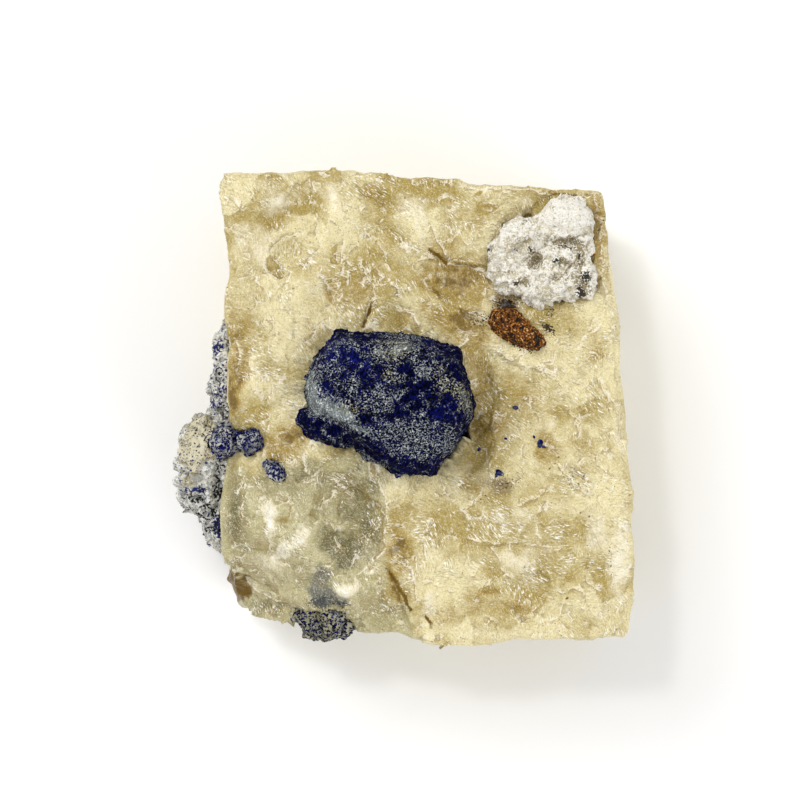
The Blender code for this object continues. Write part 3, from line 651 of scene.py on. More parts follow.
# tan painted shade in the deep hollows and under the edge of the chalky lump
PATCH_PORE_SHADE = [
    (24.6, 24.8, 5.0, 1.3, 0, 1.1), (20.1, 22.2, 1.5, 2.2, 0, 1.3), (26.8, 23.0, 2.0, 3.0, 0, 0.9),
    (23.7, 21.9, 2.6, 1.2, 0, 1.0), (27.1, 18.5, 2.2, 2.6, 0, 1.1), (18.0, 18.8, 1.0, 1.0, 0, 1.2),
    (18.0, 24.8, 1.8, 1.8, 0, 0.7), (15.9, 20.1, 2.2, 1.2, 0, 0.6), (22.5, 19.8, 2.0, 1.2, 0, 0.7),
    (19.0, 28.1, 1.2, 1.0, 0, 0.6), (13.0, 22.1, 0.8, 1.0, 0, 0.8), (25.2, 20.1, 3.0, 2.4, 0, 0.5),
]
PATCH_BLACK = [
    (12.9, 23.3, 0.7, 1.0, 0, 1.5), (17.2, 18.6, 1.0, 0.8, 0, 1.5), (23.2, 21.9, 1.2, 0.8, 0, 1.5),
    (27.0, 22.8, 0.8, 1.0, 0, 1.5), (27.6, 19.5, 1.1, 1.8, 0, 1.5), (26.7, 17.3, 1.0, 0.9, 0, 1.5),
    (24.6, 24.2, 3.0, 0.8, 0, 0.8), (19.2, 23.9, 0.6, 0.8, 0, 1.2), (17.4, 23.9, 0.8, 0.6, 0, 1.0),
]
CHALKY_LUMP = (24.3, 29.0, 5.2, 4.0, 0, 1.8)
print("Forms of the white patch:", len(PATCH_FORMS))

# %% White patch
patch = even_copy("white_diopside_patch", voxel=0.22, rounds=2)
at = places(patch)
smooth = np.clip(bell(at[:, 0], at[:, 1], CHALKY_LUMP), 0, 1)
crumbs = 0.7 * cleaved(at, 2.0, 3.0)[0] + 0.35 * cleaved(at, 1.0, 9.0)[0]
crumbs += 0.35 * rolling(at, 1.4, 2.0) + 0.1 * rolling(at, 0.5, 6.0)
crumbs *= 1 - 0.7 * smooth
push(patch, crumbs + swell(at[:, 0], at[:, 1], PATCH_FORMS))
# darker where the surface lies deeper: painted shade in the pores
keep(patch, "hollow_shade", np.clip(0.3 - 1.8 * crumbs, 0, 1) * (1 - smooth))
# painted shade in the listed hollows
keep(patch, "pore_shade", stain_at(at, PATCH_PORE_SHADE, 0.9, 6.0))
keep(patch, "black", stain_at(at, PATCH_BLACK, 0.6, 2.0))
pieces["white_diopside_patch"] = patch
print("White patch has", len(patch.faces), "faces")

# %% Rusty grain
rusty = even_copy("iron_oxide_grain", voxel=0.15, rounds=1)
at = places(rusty)
crumbs = 0.35 * (knobs(at, 0.8, 3.0) - 0.5) + 0.3 * rolling(at, 0.6, 2.0)
push(rusty, 0.6 + crumbs)
# darker where the surface lies deeper: painted black shade in the hollows
keep(rusty, "hollow_shade", np.clip(0.3 - 2.2 * crumbs, 0, 1))
pieces["iron_oxide_grain"] = rusty
print("Rusty grain has", len(rusty.faces), "faces")

# %% Forms, painted crevice shade and colours of the wall rock
CRUST_FORMS = [
    (-33.3, -17.7, 3.4, 3.4, 0, -1.6), (-29.1, 1.4, 1.6, 1.6, 0, -0.8), (-29.9, 8.9, 1.4, 8.0, 0, -1.3),
    (-28.1, -11.4, 1.1, 6.0, 0, -1.6), (-30.9, -14.4, 3.0, 0.6, -30, -0.8),
    (-31.2, -16.3, 3.0, 0.6, -35, -0.8), (-33.3, -10.3, 1.5, 5.0, 0, -0.7),
    (-29.4, -6.9, 1.0, 3.0, 0, -0.6), (-31.8, -5.4, 2.0, 1.6, 0, 0.5),
]
# painted shade in the crevices, most in the gap beside the calcite
CRUST_CREVICE_SHADE = [
    (-28.1, -11.5, 0.9, 6.0, 0, 1.2), (-30.8, -14.5, 3.6, 0.7, -30, 1.2),
    (-31.2, -16.3, 3.2, 0.7, -35, 1.2), (-32.7, -13.9, 1.0, 2.0, -20, 0.9),
    (-26.6, -1.6, 0.8, 12.0, 0, 0.8), (-29.6, -18.9, 3.0, 0.7, -40, 0.9), (-27.8, -17.4, 1.0, 3.0, 0, 0.6),
]
CRUST_BLUE = [
    (-27.9, 9.9, 2.4, 1.2, 0, 1.4), (-28.1, 3.2, 2.2, 2.4, 0, 1.0), (-27.9, 6.5, 2.4, 3.0, 0, 0.6),
    (-31.8, -12.3, 3.0, 1.0, 10, 1.6), (-27.6, -18.1, 1.4, 2.4, 0, 1.4), (-29.6, -16.6, 5.0, 4.0, 0, 0.5),
    (-29.0, 0.8, 1.4, 1.2, 0, 1.3),
]
CRUST_CREAM = [
    (-31.4, -5.4, 5.0, 7.0, 0, 1.6), (-27.0, 13.4, 2.4, 2.0, 0, 1.2), (-28.1, -3.1, 3.0, 2.4, 0, 1.0),
]
print("Forms of the wall rock:", len(CRUST_FORMS))

# %% Wall rock
crust = even_copy("wall_rock_crust", voxel=0.28, rounds=1)
at = places(crust)
crumbs = 0.8 * cleaved(at, 2.6, 5.0)[0] + 0.5 * rolling(at, 1.1, 2.0) + 0.45 * rolling(at, 3.0, 8.0)
crumbs += 0.45 * (knobs(at, 1.3, 1.0) - 0.5) + 0.12 * rolling(at, 0.5, 4.0) - 0.1
push(crust, crumbs + swell(at[:, 0], at[:, 1], CRUST_FORMS))
at = places(crust)
# darker where the surface lies deeper, and in the listed crevices: painted shade
keep(crust, "hollow_shade", np.clip(0.1 - 1.1 * crumbs + stain_at(at, CRUST_CREVICE_SHADE), 0, 1))
keep(crust, "blue", stain_at(at, CRUST_BLUE, 1.6) + 0.6 * rolling(at, 2.4, 9.0))
keep(crust, "cream", np.clip(stain_at(at, CRUST_CREAM, 1.6) + 1.2 * rolling(at, 3.0, 7.0), 0, 2))
pieces["wall_rock_crust"] = crust
print("Wall rock has", len(crust.faces), "faces")

# %% [markdown]
# ## The calcite block
# The walls get squares of under a millimetre, and the face squares a third as wide, because the
# face is what is looked at. One fine mesh all over would look no better and be far too heavy.

# %% Fine mesh of the calcite block
WALL_SQUARE = 0.86
FACE_CUTS = 2
FACE_LOWEST = 18.0  # mm above the flat back, and the fine squares start 2 mm higher
block = even_copy("calcite_matrix", voxel=WALL_SQUARE, rounds=2)
face = [f for f in block.faces if f.normal.z > 0.3 and f.calc_center_median().z > FACE_LOWEST + 2]
edges = list({e for f in face for e in f.edges})
bmesh.ops.subdivide_edges(block, edges=edges, cuts=FACE_CUTS, use_grid_fill=True)
bmesh.ops.smooth_vert(
    block, verts=block.verts[:], factor=0.5, use_axis_x=True, use_axis_y=True, use_axis_z=True
)
block.normal_update()
print("Calcite block has", len(block.faces), "faces")

# %% [markdown]
# The face has forms that can be told one by one: dents and swells, ledges where a layer broke
# off, thin rims where a grain ends, drawn with a painted highlight, brown cracks and pits. They
# are placed one by one, in millimetres. Noise alone would make a face of the same kind, but not this one.

# %% Dents and swells
# middle x and y, half-lengths, turn in degrees, rise in mm
DENTS = [
    (-17.6, 23.9, 2.8, 3.0, 0, -1.0), (-4.8, 14.9, 0.9, 2.0, -25, -0.9), (-0.3, 13.7, 2.0, 2.4, 0, -0.6),
    (-10.7, 17.6, 1.6, 2.8, 15, -0.5), (5.7, 21.2, 3.4, 1.8, -20, -0.9), (11.7, 1.4, 2.4, 7.0, 0, -0.4),
    (11.4, 9.6, 1.6, 3.0, 0, -0.4), (-17.6, -13.6, 3.4, 4.6, 0, 0.9), (-17.9, -19.6, 3.4, 2.6, 0, 0.7),
    (-17.7, -17.1, 1.7, 1.4, 0, -0.9), (-6.9, -14.8, 3.6, 6.0, 10, -1.0), (15.6, -22.3, 2.4, 2.2, 0, 0.6),
    (22.5, -2.1, 1.6, 1.4, 0, 0.5), (25.9, -25.3, 2.6, 1.8, 0, -0.5), (13.5, -27.4, 2.2, 1.1, 0, -0.5),
    (16.9, 8.1, 6.4, 1.7, -22, 0.8), (12.0, 10.4, 1.6, 2.6, 0, 0.9), (-10.4, 31.7, 2.2, 4.4, 15, 0.6),
    (2.8, 28.4, 1.9, 4.6, 8, 0.7), (-4.5, 32.1, 4.8, 2.2, -35, -0.6), (-18.9, 28.7, 3.6, 2.2, 8, -0.7),
    (23.7, -5.4, 2.4, 2.0, 0, 0.4), (-8.6, -27.4, 2.2, 1.2, 0, 0.5), (4.2, -28.6, 2.0, 4.0, -10, 0.7),
    (31.5, -7.2, 0.6, 0.6, 0, 0.4), (-11.6, 24.6, 2.4, 3.6, 10, 0.6), (-15.3, 17.6, 2.6, 2.6, 0, 0.5),
    (-26.1, 32.0, 1.8, 1.4, 0, -0.6), (-15.3, -16.6, 6.0, 9.0, 0, 0.7), (23.7, 11.1, 3.6, 2.6, 0, 0.6),
    (31.2, 11.9, 1.6, 2.0, 0, 0.5), (17.7, -27.1, 5.0, 3.0, 0, -0.4), (10.2, -23.4, 4.0, 4.0, 0, 0.5),
    (29.7, -16.6, 3.0, 4.0, 0, 0.5), (-22.8, 11.9, 2.6, 3.2, 0, -0.5), (-1.1, 23.9, 3.0, 3.0, 0, 0.5),
    (7.2, 29.1, 3.0, 2.0, 0, -0.4), (25.9, 1.4, 3.6, 3.0, 0, 0.5), (19.2, -13.6, 4.0, 3.0, 0, 0.4),
    (-22.8, -25.6, 2.0, 3.6, 20, 0.5), (-16.8, -30.4, 4.6, 1.0, -8, -0.6),
]
print("Dents and swells:", len(DENTS))

# %% Ledges
# from x, y to x, y, then the drop in mm, left of the line or right if below 0, and its foot in mm
LEDGES = [
    ((-2.7, -21.4), (1.8, -34.6), -1.0, 4.0), ((-4.2, -7.9), (-2.7, -20.8), -1.0, 4.0),
    ((10.2, -20.4), (23.7, -20.1), -0.8, 2.4), ((13.2, -9.1), (13.5, 9.6), 0.3, 3.0),
    ((2.4, 23.9), (14.7, 20.6), -0.8, 3.0), ((-12.6, 20.0), (-9.0, 16.4), 0.4, 1.5),
    ((13.2, -20.8), (16.5, -25.3), 0.5, 1.5), ((-22.8, 21.2), (-14.6, 22.1), -0.35, 1.5),
    ((17.7, 31.4), (30.6, 32.6), 0.6, 1.2), ((23.7, -27.1), (29.7, -22.6), 0.5, 1.5),
    ((-1.8, 29.1), (-7.8, 34.4), -0.5, 1.5), ((23.7, 2.6), (29.7, -3.1), 0.5, 1.5),
    ((21.4, -9.1), (29.7, -13.6), -0.5, 1.5), ((-22.5, 16.4), (-21.0, 9.6), 0.5, 1.5),
    ((7.9, -16.6), (-0.3, -14.4), 0.4, 1.5), ((-7.8, 26.1), (-8.6, 20.1), 0.4, 1.5),
    ((-25.5, -24.9), (-15.9, -29.5), -0.9, 2.0),
]


def ledge_drop(x, y, ledge):
    """How far a ledge lets the face down at points x, y."""
    (x1, y1), (x2, y2), depth, foot = ledge
    length = math.hypot(x2 - x1, y2 - y1)
    way_x, way_y = (x2 - x1) / length, (y2 - y1) / length
    share = ((x - x1) * way_x + (y - y1) * way_y) / length
    left = (way_x * (y - y1) - way_y * (x - x1)) * math.copysign(1, depth)
    ends = soft_step(share * 5) * soft_step((1 - share) * 5)
    return abs(depth) * ends * soft_step(left / 0.4 + 0.5) * np.exp(-np.clip(left, 0, None) / foot)


print("Ledges:", len(LEDGES))

# %% Rims, cracks and pits
# rims and cracks go from one point to the next; the rims are drawn as white lines with a painted highlight on
# one side and painted shade on the other
RIMS = [
    [(-15.0, 26.6), (-17.3, 26.0), (-18.8, 25.2), (-19.7, 24.0), (-19.4, 22.8), (-18.6, 21.8),
     (-17.3, 20.7), (-15.8, 21.3), (-15.2, 22.2), (-15.8, 24.0), (-16.4, 25.5)],
    [(-12.0, 28.8), (-13.2, 26.9), (-12.3, 25.5), (-12.3, 24.5), (-14.0, 22.5), (-15.0, 21.0)],
    [(-11.3, 29.1), (-9.6, 27.8), (-8.7, 26.1), (-9.0, 23.6), (-9.0, 20.6)],
    [(-8.7, 23.0), (-7.5, 21.5), (-6.6, 19.8)],
    [(-12.0, 20.0), (-10.5, 19.5), (-9.5, 18.9), (-8.9, 17.7), (-9.5, 16.5)],
    [(-3.3, 20.6), (-1.8, 19.2), (-0.8, 18.3), (-0.2, 16.5)], [(-5.7, 21.0), (-4.7, 19.1), (-4.1, 17.4)],
    [(-3.9, 15.0), (-5.0, 16.5), (-5.3, 15.0), (-5.4, 13.4)],
    [(-13.2, 33.8), (-12.9, 32.3), (-12.0, 30.6), (-11.0, 29.3)],
    [(-22.1, 19.5), (-20.7, 18.0), (-19.8, 16.5)], [(-0.2, 25.4), (1.3, 24.3), (2.8, 23.6), (5.1, 22.5)],
    [(-23.0, 7.7), (-22.7, 5.7), (-20.7, 5.4), (-18.8, 5.1), (-16.8, 5.0)],
    [(-17.0, 20.6), (-17.3, 18.3), (-16.8, 16.5)], [(-11.7, 13.5), (-12.9, 12.0), (-14.3, 10.2)],
    [(-0.9, 15.2), (0.9, 14.4), (2.7, 12.8), (4.5, 11.1)],
    [(-5.1, -8.1), (-3.8, -10.3), (-2.6, -13.6), (-2.3, -16.6), (-2.6, -20.4), (-2.7, -21.4)],
    [(-2.7, -21.7), (-4.2, -22.8), (-5.3, -23.8), (-6.6, -24.9), (-7.1, -25.6)],
    [(-7.1, -21.6), (-5.7, -22.2), (-4.2, -23.2)], [(-10.4, -19.6), (-9.2, -21.3), (-6.9, -22.3)],
    [(-19.8, -13.6), (-20.3, -16.6), (-20.0, -20.4), (-20.9, -23.4)],
    [(-17.1, -13.9), (-16.5, -15.1), (-16.8, -16.0)], [(-21.8, -11.7), (-20.4, -13.6), (-19.8, -14.8)],
    [(-26.1, -22.6), (-24.9, -25.3), (-23.3, -27.1), (-21.0, -28.9), (-16.8, -29.8)],
    [(-10.5, -10.6), (-8.7, -12.4), (-7.8, -13.9)],
    [(-14.6, -6.9), (-14.4, -9.1), (-13.4, -10.3), (-12.0, -11.1)],
    [(10.2, -19.6), (14.7, -20.2), (19.2, -20.4), (22.5, -20.7)],
    [(13.3, -20.7), (14.4, -22.6), (15.6, -24.6), (16.5, -25.3)],
    [(27.6, -25.3), (28.8, -26.8), (30.3, -27.4)], [(23.7, -27.4), (25.9, -27.1), (27.9, -28.6)],
    [(12.3, -15.4), (13.5, -18.1), (15.0, -20.2)], [(2.2, -17.4), (3.3, -20.4), (3.6, -22.9)],
    [(0.9, -22.6), (1.8, -25.6), (2.4, -28.6)], [(14.7, 8.6), (17.7, 7.1), (21.4, 5.6)],
    [(19.9, 6.2), (22.9, 4.7), (25.2, 2.6)], [(23.7, -9.1), (25.9, -11.4), (28.5, -13.6)],
    [(29.7, 4.4), (30.9, 2.1), (31.5, -0.4)], [(4.2, 27.8), (5.4, 25.4), (7.2, 22.1)],
    [(6.4, 22.1), (10.2, 21.5), (12.9, 20.1)], [(-24.6, -9.1), (-23.6, -12.1), (-24.3, -16.6)],
    [(5.7, 34.7), (10.2, 33.3), (17.7, 33.2), (23.7, 32.6), (30.3, 32.4)],
    [(29.1, 32.1), (29.8, 26.9), (30.4, 20.9), (30.9, 14.9)], [(17.7, -14.4), (19.9, -13.6), (21.9, -12.1)],
    [(-22.8, -4.6), (-20.1, -5.7), (-17.6, -5.2)], [(-25.8, 11.9), (-24.3, 8.9), (-24.9, 5.6)],
]
CRACKS = [
    [(-2.6, -24.1), (-1.5, -24.9), (-0.3, -27.4), (1.5, -30.4)], [(3.6, -31.3), (4.3, -33.1)],
    [(4.2, 24.0), (5.8, 22.8), (6.7, 22.1)], [(-5.4, 13.4), (-4.7, 15.9)],
]
CRACK_HALF_WIDTH = 0.3
PIT_RADIUS = 0.34
PITS = [
    (11.4, 20.0), (-13.8, 25.2), (-8.9, 23.0), (-20.4, 25.2), (-16.1, 26.1), (30.1, 7.7), (30.4, 29.1),
    (18.4, -24.0), (22.3, -8.7), (34.2, -13.2), (24.0, -6.4), (27.3, -9.9), (28.2, -16.2), (26.7, -15.7),
    (2.8, 28.1), (0.3, 32.0), (-12.3, 14.9), (-8.6, 4.4), (24.9, -28.6), (26.1, -9.1), (23.7, -7.3),
]
print("Rims:", len(RIMS), "cracks:", len(CRACKS), "pits:", len(PITS))

# %% Waxy, glittering and clear places
# waxy where a grain split cleanly, glittering where the stone broke into crowds of glints, which are painted
# highlights; the glittering places at the lower left also paint the highlight on the bulge there
WAXY = [
    (-12.6, -27.1, 3.0, 3.6, 0, 0.9), (-8.6, -20.4, 4.0, 3.0, -25, 0.9), (-10.8, 30.6, 3.0, 4.0, 15, 0.9),
    (-15.3, 17.9, 4.0, 3.0, 0, 0.6), (15.4, -22.6, 2.6, 2.4, 0, 0.9), (22.5, -2.1, 2.0, 1.6, 0, 0.9),
    (25.9, -24.9, 3.0, 2.0, 0, 0.8), (-11.6, 25.4, 3.0, 3.4, 0, 0.8), (9.4, -9.1, 3.0, 1.6, 0, 0.7),
    (-16.8, -28.6, 4.0, 2.0, 0, 0.8), (-22.8, 1.4, 3.0, 6.0, 0, 0.6), (5.7, -27.9, 3.4, 3.0, 0, 0.5),
    (-19.1, 28.7, 3.4, 2.4, 0, 0.6),
]
GLITTER = [
    (-4.5, 32.0, 4.6, 2.4, -35, 1.0), (-18.9, 27.8, 2.4, 1.4, 0, 1.2), (-19.1, 35.0, 2.0, 1.4, 0, 1.2),
    (-17.4, 23.9, 1.6, 0.8, 0, 0.9), (0.0, 25.4, 3.0, 3.0, 0, 0.6), (4.2, -19.6, 5.0, 4.6, 0, 0.9),
    (24.0, -18.9, 3.0, 1.8, 0, 1.2), (26.7, -22.9, 3.4, 2.0, 0, 1.2), (21.4, -24.9, 3.6, 2.0, 0, 1.0),
    (26.7, -10.6, 3.6, 2.4, 0, 0.9), (28.2, 1.4, 3.0, 4.0, 0, 0.8), (21.4, -15.1, 3.6, 1.4, 20, 0.9),
    (-20.6, 5.9, 3.6, 6.0, 0, 0.7), (-16.8, 1.4, 2.6, 3.6, 0, 0.9), (-8.6, -10.6, 2.4, 2.0, 0, 1.1),
    (-17.1, -20.8, 3.0, 2.0, 20, 1.3), (-20.1, -16.6, 1.0, 4.0, 0, 1.3), (-6.3, -19.6, 2.4, 2.0, 0, 1.0),
    (14.7, 1.4, 3.0, 3.0, 0, 0.7), (15.4, -16.6, 3.0, 4.0, 30, 0.8), (5.7, -27.1, 3.0, 3.0, 0, 0.6),
    (17.7, 29.9, 5.0, 1.8, 0, 0.7), (7.9, 27.6, 3.0, 3.0, 0, 0.8), (4.2, 34.4, 4.0, 1.6, 0, 0.7),
    (-7.8, 14.9, 5.0, 2.4, 0, 0.7), (29.7, -22.6, 3.0, 3.0, 0, 0.8),
]
# the clear calcite at the lower left ends at this line
CLEAR_EDGE = [
    (-29.6, -7.3), (-22.1, -10.0), (-15.3, -8.8), (-10.1, -7.6), (-5.1, -7.3), (-3.8, -9.9), (-2.4, -13.6),
    (-2.3, -16.6), (-2.7, -21.4), (-0.6, -25.6), (1.2, -29.4), (2.4, -36.1),
]
print("Waxy places:", len(WAXY), "glittering places:", len(GLITTER))

# %% [markdown]
# Cleavage grains of three sizes go over everything, stronger where the stone broke roughly and
# weaker where a grain split cleanly and looks waxy. Slow rolling noise keeps the face from
# being flat between them. `up` is 1 on the face and 0 on the walls, so that what was placed one
# by one stays on the face.

# %% Relief of the calcite face
at = places(block)
up = soft_step((normals(block)[:, 2] - 0.2) * 2.5) * (at[:, 2] > FACE_LOWEST)
x, y = wandered(at, 1.6, 0.5)
waxy = np.clip(swell(x, y, WAXY), 0, 1) * up
glitter = np.clip(swell(x, y, GLITTER), 0, 1) * up
# the clear part ends within 2.4 mm on the face, and more slowly and unevenly on the walls
clear = signed_distance(x, y, [CLEAR_EDGE]) + 6.0 * (1 - up) * rolling(at, 6.0, 4.0)
clear = soft_step(0.5 - clear / (2.4 + 5.0 * (1 - up)))
# from where it split smoothly to 1 where it broke roughly
broken = (0.3 + 0.7 * soft_step(1.5 * rolling(at, 6.0, 9.0) + 0.5 + glitter)) * (1 - 0.8 * waxy)
coarse, tone, seam = cleaved(at, 6.0, 4.0)
middling, _, small_seam = cleaved(at, 3.2, 6.0)
seam = np.where(np.abs(seam) < np.abs(small_seam), seam, small_seam)
relief = 0.08 * coarse + 0.09 * broken * middling + 0.2 * broken * cleaved(at, 1.0, 7.0)[0]
relief += 0.25 * clear * middling
relief += 0.22 * rolling(at, 2.8, 5.0) + 0.08 * broken * rolling(at, 0.6, 1.0)
relief += (0.25 + 0.4 * up) * rolling(at, 7.0, 2.0)
placed = swell(x, y, DENTS) - sum(ledge_drop(x, y, ledge) for ledge in LEDGES)
rim = signed_distance(x, y, RIMS)
crack = soft_step(1.2 - np.abs(signed_distance(x, y, CRACKS)) / CRACK_HALF_WIDTH)
holes = [soft_step(1.1 - np.hypot(x - pit_x, y - pit_y) / PIT_RADIUS) for pit_x, pit_y in PITS]
pit = np.max(holes, axis=0)
placed = 0.75 * placed - 0.25 * crack - 0.15 * pit
height = relief + 0.5 * np.clip(placed, -0.6, 0.6)
print("Relief of the face, in mm:", height.min().round(2), "to", height.max().round(2))

# %% [markdown]
# The walls are a guess, because the photo shows only the face. Calcite's cleavage planes lean
# 15 degrees from square, so below the rim each wall is made of planes with that lean, which
# break off at ledges in two directions. A sawtooth along the wall makes them: its slope is a
# plane and its jump a ledge. The ledges only cut in, so the outline stays that of the real piece.

# %% Walls of the calcite block
BACK_KEPT = 1.2  # mm: below this the flat back stays as it is
CLEAVAGE_LEAN = 0.27  # the tangent of 15 degrees
side, end = normals(block)[:, 0], normals(block)[:, 1]
# how far the right and the left wall stand out, from the foot of the face to its top
right = np.interp(y, (-36, -18, -8, 12, 18, 26), (0.65, 0.5, 0.4, 0.5, 0.2, -0.3)) * (side > 0.5)
left = np.interp(y, (-36, 4, 8, 24, 29), (0.1, 0.1, -0.2, -0.2, -0.5)) * (side < -0.5)
corners = 0.1 * (np.abs(side) <= 0.5) + 0.7 * np.minimum(np.abs(side), np.abs(end))
run = np.where(np.abs(side) > np.abs(end), at[:, 1], at[:, 0])
bent = 0.5 * rolling(at, 9.0, 12.0)
ledges = 0.9 * (((at[:, 2] + CLEAVAGE_LEAN * run) / 9.0 + bent) % 1.0)
ledges += 0.6 * (((run - CLEAVAGE_LEAN * at[:, 2]) / 7.5 + bent) % 1.0)
ledges *= soft_step((27.0 - at[:, 2]) / 5)
amounts = (1 - up) * (right + left + corners - ledges) + relief + up * placed
push(block, amounts * (at[:, 2] > BACK_KEPT))
print("Deepest wall ledge, in mm:", ledges.max().round(2))

# %% [markdown]
# Next come the block's stains and its painted light and shade. They are soft spots with uneven
# edges: ochre where iron got in, and deeper ochre as painted shade at the foot of the big crystal
# and on the steep sides of ledges; a greenish grey where the calcite is clear and thick, a dull
# purple, and pale where it is full of fine cracks, with a painted highlight on the bulge at the
# lower left. Pits and cracks are brown. Each point of the mesh keeps its amounts, which is why
# the mesh is fine: a painted image would do the same, but could not be read or changed.
# White lines keep their signed distance: it crosses zero on the line, so the material can draw
# the line thinner than the mesh's squares.

